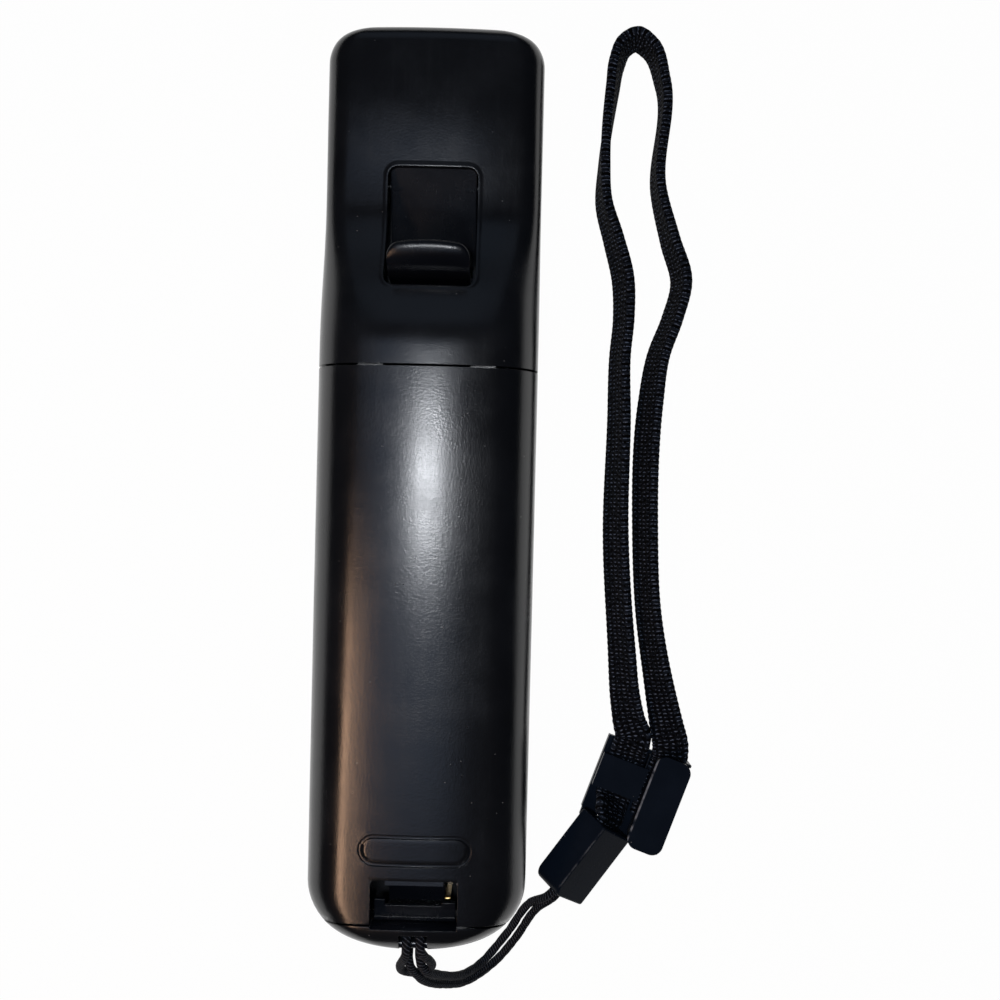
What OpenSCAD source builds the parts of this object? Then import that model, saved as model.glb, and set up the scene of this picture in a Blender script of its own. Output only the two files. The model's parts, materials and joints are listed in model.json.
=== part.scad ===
// Motion controller wand lying face down, with its wrist strap beside it.
// Millimetres. X across, Y towards the nose, Z up through the back of the wand.
// The main buttons stand on Z = 0.

/* [Body] */
// Length from nose to tail
body_len = 151; // [148:0.5:165]
// Width across the sides
body_w = 36; // [35.5:0.25:40]
// Thickness of the two shells
wall = 1.8; // [1.5:0.1:2.1]
// How far the main buttons stand out of the front face
button_proud = 1.4; // [1:0.1:2]
// Height of the parting line above the front face
split_h = 10.6; // [10.2:0.2:12]
// Finger scoop above the parting line
scoop_rise = 8; // [5:0.1:8.4]
// Nose crown above the parting line
nose_rise = 8.8; // [8.4:0.2:10]
// Hump ahead of the grip above the crown at the tail
hump_rise = 3; // [2:0.2:4]
// Edge radius round the front face
front_edge_r = 1.6; // [1:0.1:1.7]

/* [Battery bay] */
// Diameter of a cell
cell_d = 14.2; // [13.6:0.1:14.4]
// Length of a cell over its button
cell_len = 50.5; // [49:0.1:51]
// Free height between cell and cover
cell_headroom = 0.5; // [0.4:0.1:1.5]
// Thickness of the cover
cover_wall = 1.5; // [1.2:0.1:1.7]
// Width of the latch notch
latch_w = 14; // [12:0.5:15]
// Length of the stadium outline on the cover
badge_len = 18.3; // [14:0.5:22]

/* [Trigger] */
// Width of the trigger
trigger_w = 14.2; // [12:0.2:14.6]
// Top of the lip above the front face
lip_h = 28.4; // [28:0.2:31]
// Diameter of the hinge pin
trigger_pin_d = 2; // [1.6:0.1:2.2]

/* [Buttons] */
// Diameter of the main button
main_d = 12; // [10:0.2:13]
// Span of the cross pad
pad_span = 17; // [15:0.5:18]
// Width of a cross pad arm
pad_arm = 6; // [5:0.2:7]
// Diameter of the one and two buttons
digit_d = 8; // [7:0.2:9]
// Diameter of the minus, home and plus buttons
small_d = 5.2; // [4.4:0.2:5.6]
// Spacing of the minus and plus buttons from the middle
small_x = 9.4; // [8.6:0.1:9.6]
// Diameter of the power button
power_d = 6.4; // [5:0.2:7]

/* [Strap] */
// Thickness of each strand of the thin cord
cord_d = 1.5; // [1.2:0.1:1.6]
// Width of the webbing
web_w = 6.5; // [5.5:0.1:6.6]
// Thickness of the webbing
web_t = 1.7; // [1.2:0.1:1.8]
// Length of the cord block
block_len = 14.4; // [11:0.2:14.6]

/* [Hidden] */
$fn = 48;

// Clearances
slip = 0.05;        // pieces fixed together
run = 0.06;         // pins in their bores
part_gap = 0.35;    // seams between moving pieces
hole_gap = 0.3;     // button caps in their holes
rest_gap = 0.1;     // button flanges under the shell
cell_gap = 0.3;     // cells in their bay
flange_over = 0.9;  // button flanges past their caps
screw_r = 0.85;
head_r = 1.7;
boss_r = 1.9;

// Main levels, upwards from the buttons
front_z = button_proud;
inner_z = front_z + wall;
flange_t = 0.8;
dome_h = 1;
sheet_t = 0.4;
board_t = 1;
flange_z = inner_z + rest_gap;
dome_z = flange_z + flange_t + slip;
sheet_z = dome_z + dome_h;
board_z = sheet_z + sheet_t;
board_top = board_z + board_t;
chip_h = 1.5;
floor_z = board_top + chip_h;
floor_t = 1;
bay_z = floor_z + floor_t;
split_z = front_z + split_h;
cell_r = cell_d / 2;
cell_z = bay_z + 2 * slip + cell_r;
scoop_z = split_z + scoop_rise;
nose_z = split_z + nose_rise;
tail_z = cell_z + cell_r + cell_headroom + 0.45 + cover_wall;
hump_z = tail_z + hump_rise;
lip_z = front_z + lip_h;

// Stations along the body
half_w = body_w / 2;
nose_y = body_len / 2;
tail_y = -body_len / 2;
scoop_y = nose_y - 29.5;
hump_y = nose_y - 53.5;
level_y = nose_y - 11.5;
seam_y = nose_y - 56.7;
tail_seam_y = tail_y + 4.8;
nose_cx = 5.5;
nose_cy = 5.5;
tail_cx = 12.8;
tail_cy = 10.3;
nose_r = 2.6;
tail_r = 4.5;
seam_tilt = 7.4;

// Front layout
power_at = [9.5, nose_y - 11.5];
pad_y = nose_y - 26.5;
light_y = tail_y + 16.5;
light_x = [-9, -3, 3, 9];
light_half = 1;
light_flange = 1.4;
switch_y = nose_y - 36;
switch_z = board_top + 4.5;

// The length left free between cross pad and lights is shared among the gaps of the row
pad_flange_r = pad_span / 2 + 0.7;
main_f = main_d / 2 + flange_over;
small_f = small_d / 2 + flange_over;
digit_f = digit_d / 2 + flange_over;
speaker_r = 8.6;
row_gaps = [10.9, 13.6, 0.9, 2.5, 2.2, 9.7];
row_free = pad_y - pad_flange_r - light_y - light_flange
    - 2 * (main_f + small_f + speaker_r + 2 * digit_f);
row_share = row_free / (row_gaps * [1, 1, 1, 1, 1, 1]);
main_y = pad_y - pad_flange_r - row_gaps[0] * row_share - main_f;
small_y = main_y - main_f - row_gaps[1] * row_share - small_f;
speaker_y = small_y - small_f - row_gaps[2] * row_share - speaker_r;
one_y = speaker_y - speaker_r - row_gaps[3] * row_share - digit_f;
two_y = one_y - 2 * digit_f - row_gaps[4] * row_share;

// Battery bay
bay_wall = 1.1;
bay_out = half_w - wall - part_gap;
bay_in = bay_out - bay_wall;
cell_x = cell_r + cell_gap;
bay_top = cell_z - 0.3;
bay_tail_y = tail_y + 13.6;
cell_tail_y = bay_tail_y + bay_wall + 1.9;
cell_nose_y = cell_tail_y + cell_len;
bay_nose_y = cell_nose_y + 1.9;
bulkhead_y = seam_y + 1.9;
screw_x = bay_in - head_r - 0.65;
post_at = [for (x = [-13, 13], y = [nose_y - 19.5, tail_y + 21.5]) [x, y]];
sync_y = seam_y - 12.4;
sync_r = 1.6;
sync_z = board_top + 0.9;
hinge_z = hump_z;
tab_x = 9;
tab_half = 2;
leg_half = 4.7;

// Trigger, drawn in the Y Z plane
pin_r = trigger_pin_d / 2;
pin_y = nose_y - 25.4;
pin_z = front_z + 12.6;
coil_r = pin_r + 0.55;
coil_half = 2.6;
wire_r = 0.22;
trough_top = front_z + 16.8;
trough_low = front_z + 11.4;
trigger_t = 1.6;
lip_deep = 5.3;
lip_low = lip_z - 9.3;
trigger_top_y = nose_y - 23.6;
trigger_rear_y = nose_y - 42.2;
open_w = trigger_w + 2 * part_gap;
open_front_y = trigger_top_y + part_gap;
open_rear_y = trigger_rear_y - 1.4;
ear_t = 1.5;

// Tail
bar_r = 0.8;
bar_y = tail_y + 0.85;
bar_z = tail_z - 4.2;
notch_w = 4.6;
notch_back_y = tail_y + 3.3;
socket_w = 16.4;
socket_z0 = inner_z + slip;
socket_z1 = socket_z0 + 5.2;
hollow_half = latch_w / 2 + 1.2;
rail_y = tail_seam_y + 1.2;
web_y = tail_seam_y - 1.5;
rail_in = socket_w / 2 + 0.6;

// Cross pad and rumble motor
pad_flange_z = inner_z + 0.5;
pad_flange_t = 0.6;
pivot_z = pad_flange_z + 0.35;
pivot_r = 1;
motor_x = -11.3;
motor_z = board_top + 3.5;
motor_r = 3;
shaft_r = 0.5;
window_half = 11;
board_half = half_w - wall - 2;

// Rounding helpers
function clamp01(t) = min(1, max(0, t));
function swing(t) = (1 - cos(180 * clamp01(t))) / 2;
function mixed(a, b, t) = a + (b - a) * t;

// Half width of the body at y, drawn in by t
function body_half(y, t) =
    let (yn = nose_y - nose_cy, yt = tail_y + tail_cy,
        d = y > yn ? (y - yn) / (nose_cy - t) : y < yt ? (yt - y) / (tail_cy - t) : 0,
        c = y > 0 ? nose_cx : tail_cx)
    half_w - c + (c - t) * sqrt(max(0, 1 - d * d));

// Screws into the front shell, two ahead of the bay and two beside the latch
rail_out = body_half(rail_y, wall) - 0.4;
rail_x = (rail_in + rail_out) / 2;
seam_screws = [for (s = [-1, 1]) [s * screw_x, seam_y - 4.6]];
tail_screws = [for (s = [-1, 1]) [s * rail_x, tail_seam_y + 4.4]];
screw_at = concat(seam_screws, tail_screws);

// Crown of the body at y before its ends are rounded
function crown_line(y) =
    y < hump_y ? mixed(tail_z, hump_z, sin(90 * clamp01((y - tail_y) / (hump_y - tail_y))))
    : y < scoop_y ? mixed(hump_z, scoop_z, swing((y - hump_y) / (scoop_y - hump_y)))
    : mixed(scoop_z, nose_z, swing((y - scoop_y) / (level_y - scoop_y)));

function end_drop(d, r) = d <= 0 ? 0 : r - sqrt(max(0, r * r - d * d));
function crown(y, t) = crown_line(y) - t - end_drop(y - nose_y + nose_r, nose_r - t)
    - end_drop(tail_y + tail_r - y, tail_r - t);

// One cross section of the back: side, shoulder arc, crown arc, shoulder arc, side
function back_section(y, t, z_low) =
    let (full = clamp01((crown_line(y) - scoop_z) / (hump_z - scoop_z)),
        hw = body_half(y, t), top = crown(y, t),
        rc = max(0.8, min(mixed(4, 9, full) - t, hw - 0.8, top - z_low - 1.2)),
        rk = mixed(110, 55, full) - t,
        b = asin((hw - rc) / (rk - rc)), cx = hw - rc, cz = top - rk + (rk - rc) * cos(b),
        n = 5)
    concat([[-hw, y, z_low]],
        [for (i = [0:n]) let (a = 180 - (90 - b) * i / n) [-cx + rc * cos(a), y, cz + rc * sin(a)]],
        [for (i = [1:n]) let (a = -b + 2 * b * i / (n + 1)) [rk * sin(a), y, top - rk + rk * cos(a)]],
        [for (i = [0:n]) let (a = (90 - b) * (1 - i / n)) [cx + rc * cos(a), y, cz + rc * sin(a)]],
        [[hw, y, z_low]]);

function steps(a, b, n) = [for (i = [0:n]) a + (b - a) * i / n];
function nose_steps(y0, t) = concat(steps(y0, nose_y - nose_cy, 15),
    [for (a = [18:18:90]) nose_y - nose_cy + (nose_cy - t) * sin(a)]);
function tail_steps(y1, t) = concat([for (a = [90:-15:30]) tail_y + tail_cy - (tail_cy - t) * sin(a)],
    [y1]);
function back_rings(ys, t, z_low) = [for (y = ys) back_section(y, t, z_low)];

// Plan outline of the body drawn in by t
function plan_corner(cx, cy, rx, ry, a0) = [for (i = [0:6]) let (a = a0 + 15 * i)
    [cx + rx * cos(a), cy + ry * sin(a)]];
function plan(t) = let (nx = half_w - nose_cx, ny = nose_y - nose_cy, tx = half_w - tail_cx,
        ty = tail_y + tail_cy)
    concat(plan_corner(tx, ty, tail_cx - t, tail_cy - t, -90),
        plan_corner(nx, ny, nose_cx - t, nose_cy - t, 0),
        plan_corner(-nx, ny, nose_cx - t, nose_cy - t, 90),
        plan_corner(-tx, ty, tail_cx - t, tail_cy - t, 180));
function plan_ring(t, z) = [for (p = plan(t)) [p[0], p[1], z]];

// A solid skinned over equal rings, each turning left about the way they follow each other
module skin(rings) {
    n = len(rings[0]);
    m = len(rings);
    sides = [for (i = [0:m - 2], j = [0:n - 1])
        let (a = i * n + j, b = i * n + (j + 1) % n, c = b + n, d = a + n)
        each [[a, d, c], [a, c, b]]];
    polyhedron([for (r = rings) each r],
        concat([[for (j = [0:n - 1]) j], [for (j = [n - 1:-1:0]) (m - 1) * n + j]], sides), convexity = 8);
}

module box(x0, x1, y0, y1, z0, z1) {
    translate([x0, y0, z0]) cube([x1 - x0, y1 - y0, z1 - z0]);
}

module rod_x(x0, x1, y, z, r) {
    translate([x0, y, z]) rotate([0, 90, 0]) cylinder(r = r, h = x1 - x0);
}

module rod_y(x, y0, y1, z, r) {
    translate([x, y0, z]) rotate([-90, 0, 0]) cylinder(r = r, h = y1 - y0);
}

// A smooth way through hand-picked points, cut into n steps between each two
function place(v) = [v[0], v[1], v[2]];
function reach(p, i) = norm(place(p[i + 1] - p[i]));
function slope(p, i) = i == 0 ? (p[1] - p[0]) / reach(p, 0)
    : i == len(p) - 1 ? (p[i] - p[i - 1]) / reach(p, i - 1)
    : let (a = reach(p, i - 1), b = reach(p, i))
        ((p[i] - p[i - 1]) * b / a + (p[i + 1] - p[i]) * a / b) / (a + b);
function eased(p, i, u) = let (d = reach(p, i), v = 1 - u)
    (1 + 2 * u) * v * v * p[i] + u * v * v * d * slope(p, i)
    + (1 + 2 * v) * u * u * p[i + 1] - v * u * u * d * slope(p, i + 1);
function smooth(p, n) = concat([for (i = [0:len(p) - 2], k = [0:n - 1]) eased(p, i, k / n)], [p[len(p) - 1]]);

// Frames carried along a path without twist
function unit(v) = v / norm(v);
function along(p, i) = unit(p[min(i + 1, len(p) - 1)] - p[max(i - 1, 0)]);
function carry(p, i, n, out) = i == len(p) ? out :
    let (t = along(p, i), m = unit(n - t * (n * t))) carry(p, i + 1, m, concat(out, [m]));
function tube_rings(p, r, sides) = let (f = carry(p, 0, [0.3, 0.2, 0.93], []))
    [for (i = [0:len(p) - 1]) let (t = along(p, i), a = f[i], b = cross(t, a))
        [for (j = [0:sides - 1]) p[i] + r * (a * cos(360 * j / sides) + b * sin(360 * j / sides))]];

// Keeps what lies on the tail side of the tilted cover seam, or on the nose side
module seam_block(shift, nose_side) {
    translate([0, tail_seam_y + shift, tail_z]) rotate([-seam_tilt, 0, 0])
        translate([-50, nose_side ? 0 : -60, -60]) cube([100, 60, 120]);
}

// Shells

module front_holes() {
    for (b = [[power_at[0], power_at[1], power_d], [0, main_y, main_d], [0, one_y, digit_d],
            [0, two_y, digit_d], [-small_x, small_y, small_d], [0, small_y, small_d],
            [small_x, small_y, small_d]])
        translate([b[0], b[1], -1]) cylinder(r = b[2] / 2 + hole_gap, h = inner_z + 2);
    for (a = [0, 90]) translate([0, pad_y, -1]) rotate(a)
        translate([-pad_span / 2 - hole_gap, -pad_arm / 2 - hole_gap, 0])
            cube([pad_span + 2 * hole_gap, pad_arm + 2 * hole_gap, inner_z + 2]);
    h = light_half + slip;
    for (x = light_x) box(x - h, x + h, light_y - h, light_y + h, -1, inner_z + 1);
    for (i = [-2:2], j = [-2:2]) if (abs(i) + abs(j) < 4)
        translate([i * 2.6, speaker_y + j * 2.6, -1]) cylinder(r = 0.6, h = inner_z + 2, $fn = 24);
}

// Post standing on the inside of the front face
module post(p, r, top) {
    translate([p[0], p[1], inner_z - 0.5]) cylinder(r = r, h = top - inner_z + 0.5);
}

module front_shell() color([0.09, 0.1, 0.11]) {
    difference() {
        union() {
            difference() {
                skin(concat([for (a = [0:30:90]) plan_ring(front_edge_r * (1 - sin(a)), front_z
                    + front_edge_r * (1 - cos(a)))], [plan_ring(0, split_z)]));
                translate([0, 0, inner_z]) linear_extrude(split_h) polygon(plan(wall));
            }
            for (p = screw_at) post(p, boss_r, floor_z);
            for (p = seam_screws) post(p, boss_r + 0.7, board_z);
            for (p = post_at) post(p, 1.5, board_z);
        }
        front_holes();
        for (p = screw_at) translate([p[0], p[1], inner_z]) cylinder(r = screw_r + slip, h = floor_z);
        box(-window_half - slip, window_half + slip, nose_y - wall - 1, nose_y + 1,
            inner_z + 1 - slip, split_z - 0.8 + slip);
        box(-socket_w / 2 - slip, socket_w / 2 + slip, tail_y - 1, tail_y + 5,
            socket_z0 - slip, socket_z1 + slip);
    }
}

// Battery bay: floor, walls round the cells, rails beside the latch and the wall under the seam
module bay() {
    rail_web = body_half(web_y, wall) - 0.4;
    difference() {
        union() {
            box(-bay_out, bay_out, bay_tail_y, bulkhead_y, floor_z, bay_z);
            for (x = [-bay_out, bay_in]) box(x, x + bay_wall, bay_tail_y, bulkhead_y, floor_z, bay_top);
        }
        for (s = [-1, 1])
            rod_y(s * cell_x, bay_tail_y + bay_wall, bay_nose_y, cell_z, cell_r + cell_gap / 2);
    }
    for (x = [-rail_out, rail_in])
        box(x, x + rail_out - rail_in, rail_y, bay_tail_y + bay_wall, floor_z, bay_z);
    for (x = [-rail_web, rail_in]) {
        box(x, x + rail_web - rail_in, web_y, rail_y + 1, floor_z, split_z + 2);
        box(x, x + rail_web - rail_in, web_y - 1, rail_y, split_z + part_gap, split_z + 2);
    }
    for (y = [bay_tail_y, bay_nose_y]) box(-bay_out, bay_out, y, y + bay_wall, floor_z, bay_top);
    box(-bay_out, bay_out, seam_y + part_gap / 2, bulkhead_y, floor_z, split_z + 2);
}

module rear_shell() color([0.1, 0.11, 0.12]) {
    difference() {
        union() {
            difference() {
                skin(back_rings(nose_steps(seam_y + part_gap / 2, 0), 0, split_z));
                skin(back_rings(nose_steps(bulkhead_y, wall), wall, split_z - 1));
            }
            bay();
            for (s = [-1, 1]) let (x = s * (open_w / 2 + ear_t / 2 + 0.2))
                box(x - ear_t / 2, x + ear_t / 2, pin_y - 2.4, pin_y + 2.4, pin_z - pin_r - 0.7,
                    crown(pin_y, wall) + 0.4);
            difference() {
                skin(back_rings(tail_steps(tail_seam_y + 4, 0), 0, split_z));
                seam_block(-part_gap / 2, true);
                box(-hollow_half, hollow_half, tail_y + wall + 2.2, tail_seam_y + 9,
                    split_z - 1, bar_z - 4.6);
            }
        }
        box(-open_w / 2, open_w / 2, open_rear_y, open_front_y, split_z - 2, hump_z + 9);
        rod_x(-open_w / 2 - ear_t - 0.2, open_w / 2 + ear_t + 0.2, pin_y, pin_z, pin_r + slip);
        for (x = [-tab_x, tab_x])
            box(x - tab_half - hole_gap, x + tab_half + hole_gap, seam_y - 1, seam_y + 3,
                hinge_z - 6.4, hinge_z - 1.9);
        for (p = screw_at) translate([p[0], p[1], floor_z - 1]) cylinder(r = screw_r + slip, h = 9);
        translate([0, sync_y, floor_z - 1]) cylinder(r = sync_r + hole_gap, h = 9);
        box(-notch_w / 2, notch_w / 2, tail_y - 1, notch_back_y, bar_z - 3.2, tail_z + 5);
        rod_x(-notch_w / 2 - 1.5, notch_w / 2 + 1.5, bar_y, bar_z, bar_r + slip);
        box(-latch_w / 2, latch_w / 2, tail_seam_y - 0.6, tail_seam_y + 3, split_z + 2.2, tail_z + 5);
    }
}

module battery_cover() color([0.12, 0.13, 0.14]) {
    edge_y = tail_seam_y + 7.4;
    difference() {
        skin(back_rings(concat(steps(tail_seam_y - 1, tail_y + tail_cy, 4), steps(tail_y + tail_cy + 5,
            seam_y - part_gap / 2, 12)), 0, split_z + part_gap));
        skin(back_rings(concat(steps(tail_seam_y - 2, tail_y + tail_cy, 4), steps(tail_y + tail_cy + 5,
            seam_y + 1, 12)), cover_wall, split_z - 1));
        seam_block(part_gap / 2, false);
        box(-latch_w / 2, latch_w / 2, tail_seam_y - 5, edge_y, split_z - 2, hump_z + 5);
        badge();
    }
    under = crown(edge_y, cover_wall);
    box(-leg_half, leg_half, edge_y - 1, edge_y, split_z + 2.4, under + 0.4);
    box(-leg_half, leg_half, edge_y - 0.2, edge_y + 0.8, under - 3, under + 0.3);
    for (x = [-tab_x, tab_x]) {
        box(x - tab_half, x + tab_half, seam_y - 3, seam_y - 1.4, hinge_z - 5, hinge_z - cover_wall - 0.7);
        box(x - tab_half, x + tab_half, seam_y - 3, seam_y + 1.3, hinge_z - 5, hinge_z - 3.6);
    }
}

// Stadium outline pressed into the cover
module badge() {
    y = tail_seam_y + 12.2;
    h = badge_len / 2 - 2.6;
    difference() {
        translate([0, y, tail_z - 3]) linear_extrude(8) difference() {
            union() {
                square([2 * h, 5.2], center = true);
                for (s = [-1, 1]) translate([s * h, 0]) circle(r = 2.6);
            }
            union() {
                square([2 * h, 3.8], center = true);
                for (s = [-1, 1]) translate([s * h, 0]) circle(r = 1.9);
            }
        }
        skin(back_rings(steps(y - 6, y + 6, 4), 0.35, split_z));
    }
}

module cover_latch() color([0.1, 0.1, 0.11]) {
    bend_y = tail_seam_y + 6.3;
    face_y = tail_seam_y - 0.3;
    z0 = split_z + 2.4;
    z1 = tail_z - 3.8;
    box(-leg_half, leg_half, face_y + 0.2, bend_y - 0.15, z0, z0 + 1.2);
    box(-leg_half, leg_half, face_y + 0.2, face_y + 1.6, z0, z1);
    box(-latch_w / 2 + part_gap, latch_w / 2 - part_gap, face_y, face_y + 3.2, z1 - 1.4, z1);
}

// Trigger

// A sloping trough that ends in a lip, its crest towards the finger
function trigger_profile() = let (ry = trigger_rear_y, fy = trigger_rear_y + lip_deep, ty = trigger_top_y,
        low = trough_low - trigger_t)
    [[ty, trough_top], [fy + 2.9, trough_low + 0.6], [fy + 1.4, trough_low], [fy + 0.5, trough_low + 0.5],
    [fy - 0.1, trough_low + 2.2], [fy, lip_z - 2.6], [fy - 0.1, lip_z - 1.2], [fy - 0.5, lip_z - 0.35],
    [fy - 1.1, lip_z], [fy - 1.9, lip_z - 0.15], [fy - 3, lip_z - 0.75], [fy - 4.2, lip_z - 1.85],
    [ry + 0.3, lip_z - 3.05], [ry, lip_z - 4.45], [ry, lip_low], [ry + 1.5, lip_low],
    [ry + 1.8, lip_low + 3.3], [fy - 1.7, lip_low + 1.3], [fy - 1.6, trough_low + 2], [fy - 0.7, low + 0.7],
    [fy + 1, low], [fy + 3.2, low + 0.4], [ty, trough_top - 1.9]];

module trigger() color([0.08, 0.09, 0.1]) {
    lip_w = trigger_w - 1.1;
    lip_cr = 1.8;
    cut_y = trigger_rear_y + lip_deep - lip_cr;
    difference() {
        union() {
            translate([-trigger_w / 2, 0, 0]) rotate([90, 0, 90]) linear_extrude(trigger_w)
                polygon(trigger_profile());
            for (s = [-1, 1]) let (x = s * (trigger_w / 2 - 0.8))
                rod_x(x - 0.8, x + 0.8, pin_y, pin_z, pin_r + 1);
            translate([0, switch_y, switch_z + rest_gap]) cylinder(r = 1.2, h = 1);
        }
        rod_x(-trigger_w, trigger_w, pin_y, pin_z, pin_r + run);
        rod_x(-coil_half - 0.5, coil_half + 0.5, pin_y, pin_z, coil_r + wire_r + 0.2);
        for (s = [-1, 1]) difference() {
            box(min(s * (lip_w / 2 - lip_cr), s * trigger_w), max(s * (lip_w / 2 - lip_cr), s * trigger_w),
                cut_y, cut_y + lip_cr + 0.6, trough_low + 3, lip_z + 3);
            translate([s * (lip_w / 2 - lip_cr), cut_y, trough_low]) cylinder(r = lip_cr, h = 20);
        }
        for (s = [-1, 1]) box(min(s * lip_w / 2, s * trigger_w), max(s * lip_w / 2, s * trigger_w),
            trigger_rear_y - 2, cut_y + 0.01, trough_low + 3, lip_z + 3);
    }
}

module trigger_pin() color([0.05, 0.06, 0.07])
    rod_x(-open_w / 2 - ear_t, open_w / 2 + ear_t, pin_y, pin_z, pin_r);

// Coil round the pin with one leg under the trigger and one towards the nose
module trigger_spring() color([0.75, 0.75, 0.77]) {
    n = 40;
    path = concat([[-coil_half, pin_y + 5.2, pin_z - coil_r]],
        [for (i = [0:n]) let (a = -90 - 36 * i)
            [coil_half * (2 * i / n - 1), pin_y + coil_r * cos(a), pin_z + coil_r * sin(a)]],
        [[coil_half, pin_y - 4.8, pin_z - coil_r - 0.3]]);
    skin(tube_rings(path, wire_r, 6));
}

module trigger_switch() color([0.2, 0.2, 0.22]) {
    box(-3, 3, switch_y - 3, switch_y + 3, board_top, switch_z - 1.6);
    translate([0, switch_y, switch_z - 1.6]) cylinder(r1 = 2, r2 = 1.4, h = 1.6);
}

// Buttons

// A round cap with a softened edge and a flange under the shell
module cap(x, y, d, top, tint) {
    r = d / 2;
    f = r + flange_over;
    low = flange_z + flange_t;
    color(tint) translate([x, y, 0]) rotate_extrude()
        polygon([[0, top], [r - 0.5, top], [r - 0.15, top + 0.15], [r, top + 0.5], [r, flange_z],
            [f, flange_z], [f, low], [0, low]]);
}

module power_button() cap(power_at[0], power_at[1], power_d, front_z - 0.4, [0.5, 0.1, 0.1]);
module main_button() cap(0, main_y, main_d, 0, [0.25, 0.26, 0.28]);
module minus_button() cap(small_x, small_y, small_d, front_z - 0.7, [0.25, 0.26, 0.28]);
module home_button() cap(0, small_y, small_d, front_z - 0.7, [0.25, 0.26, 0.28]);
module plus_button() cap(-small_x, small_y, small_d, front_z - 0.7, [0.25, 0.26, 0.28]);
module one_button() cap(0, one_y, digit_d, 0, [0.25, 0.26, 0.28]);
module two_button() cap(0, two_y, digit_d, 0, [0.25, 0.26, 0.28]);

module dpad() color([0.2, 0.21, 0.22]) difference() {
    union() {
        for (a = [0, 90]) translate([0, pad_y, 0]) rotate(a) translate([-pad_span / 2, -pad_arm / 2, 0])
            cube([pad_span, pad_arm, pad_flange_z + 0.3]);
        translate([0, pad_y, pad_flange_z]) cylinder(r = pad_flange_r, h = pad_flange_t);
    }
    translate([0, pad_y, pivot_z]) {
        sphere(r = pivot_r + run);
        cylinder(r = pivot_r + run, h = 3);
    }
    translate([0, pad_y, -2.45]) sphere(r = 3);
}

module dpad_pivot() color([0.6, 0.6, 0.62]) translate([0, pad_y, pivot_z]) {
    sphere(r = pivot_r);
    cylinder(r = 0.6, h = sheet_z - pivot_z - 0.1);
}

module sync_button() color([0.6, 0.08, 0.08]) translate([0, sync_y, sync_z]) {
    cylinder(r = sync_r, h = bay_z + 0.9 - sync_z);
    cylinder(r = sync_r + flange_over, h = floor_z - sync_z - rest_gap);
}

// Electronics

module main_board() color([0.1, 0.35, 0.2]) difference() {
    box(-board_half, board_half, tail_y + 14.5, nose_y - 10.3, board_z, board_top);
    for (p = seam_screws) translate([p[0], p[1], 0]) cylinder(r = boss_r + slip, h = floor_z);
}

module dome(x, y, z0) translate([x, y, z0]) cylinder(r1 = 1.3, r2 = 2, h = sheet_z - z0 + 0.1);

module keypad_upper() color([0.75, 0.75, 0.72]) {
    z = pad_flange_z + pad_flange_t + slip + 0.5;
    box(-11, 11, pad_y - 10.5, pad_y + 10.5, sheet_z, board_z);
    box(power_at[0] - 4, power_at[0] + 4, pad_y + 10, power_at[1] + 1, sheet_z, board_z);
    for (a = [0:90:270]) dome(6.4 * cos(a), pad_y + 6.4 * sin(a), z);
    dome(power_at[0], power_at[1] - 1.4, dome_z);
}

module keypad_middle() color([0.75, 0.75, 0.72]) {
    box(-7.5, 7.5, small_y + 3, main_y + 8, sheet_z, board_z);
    box(-small_x - 3.2, small_x + 3.2, small_y - 3.4, small_y + 3.4, sheet_z, board_z);
    for (x = [-small_x, 0, small_x]) dome(x, small_y, dome_z);
    dome(0, main_y, dome_z);
}

module keypad_lower() color([0.75, 0.75, 0.72]) {
    box(-6.5, 6.5, two_y - 6, one_y + 6, sheet_z, board_z);
    dome(0, one_y, dome_z);
    dome(0, two_y, dome_z);
}

module board_chips() color([0.15, 0.15, 0.17]) {
    box(-7, -1, pad_y + 4, pad_y + 10, board_top, board_top + 1);
    box(2, 6, switch_y - 9.5, switch_y - 5.5, board_top, board_top + 1.2);
    box(-10, -4, speaker_y - 3, speaker_y + 3, board_top, board_top + 1.1);
    box(-1.5, 1.5, sync_y - 1.5, sync_y + 1.5, board_top, board_top + 0.4);
}

module radio_shield() color([0.7, 0.72, 0.72])
    box(3, 13, nose_y - 24, nose_y - 12, board_top, board_top + 2.2);

module camera_module() color([0.15, 0.16, 0.2]) {
    y = nose_y - 10.3 + slip;
    box(-5, 5, y, y + 4.4, inner_z + 0.9, split_z - 0.6);
    rod_y(0, y + 4, nose_y - wall - 1, (inner_z + split_z) / 2 + 0.1, 2.6);
}

module ir_window() color([0.12, 0.03, 0.05]) {
    box(-window_half, window_half, nose_y - wall - 0.4, nose_y - 0.15, inner_z + 1, split_z - 0.8);
    box(-window_half - 1, window_half + 1, nose_y - wall - 0.9, nose_y - wall - slip,
        inner_z + 0.4, split_z - 0.3);
}

module speaker() color([0.25, 0.25, 0.27]) translate([0, speaker_y, inner_z]) {
    cylinder(r = speaker_r, h = 1.2);
    cylinder(r = speaker_r - 2, h = board_z - inner_z - slip);
}

module rumble_motor() color([0.7, 0.71, 0.73]) difference() {
    rod_y(motor_x, nose_y - 21, nose_y - 10, motor_z, motor_r);
    rod_y(motor_x, nose_y - 22, nose_y - 16, motor_z, shaft_r + run);
}

module motor_cradle() color([0.2, 0.2, 0.2]) difference() {
    box(motor_x - 2.8, motor_x + 3.4, nose_y - 20, nose_y - 11, board_top, motor_z - 0.4);
    rod_y(motor_x, nose_y - 22, nose_y - 9, motor_z, motor_r + slip);
}

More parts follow.
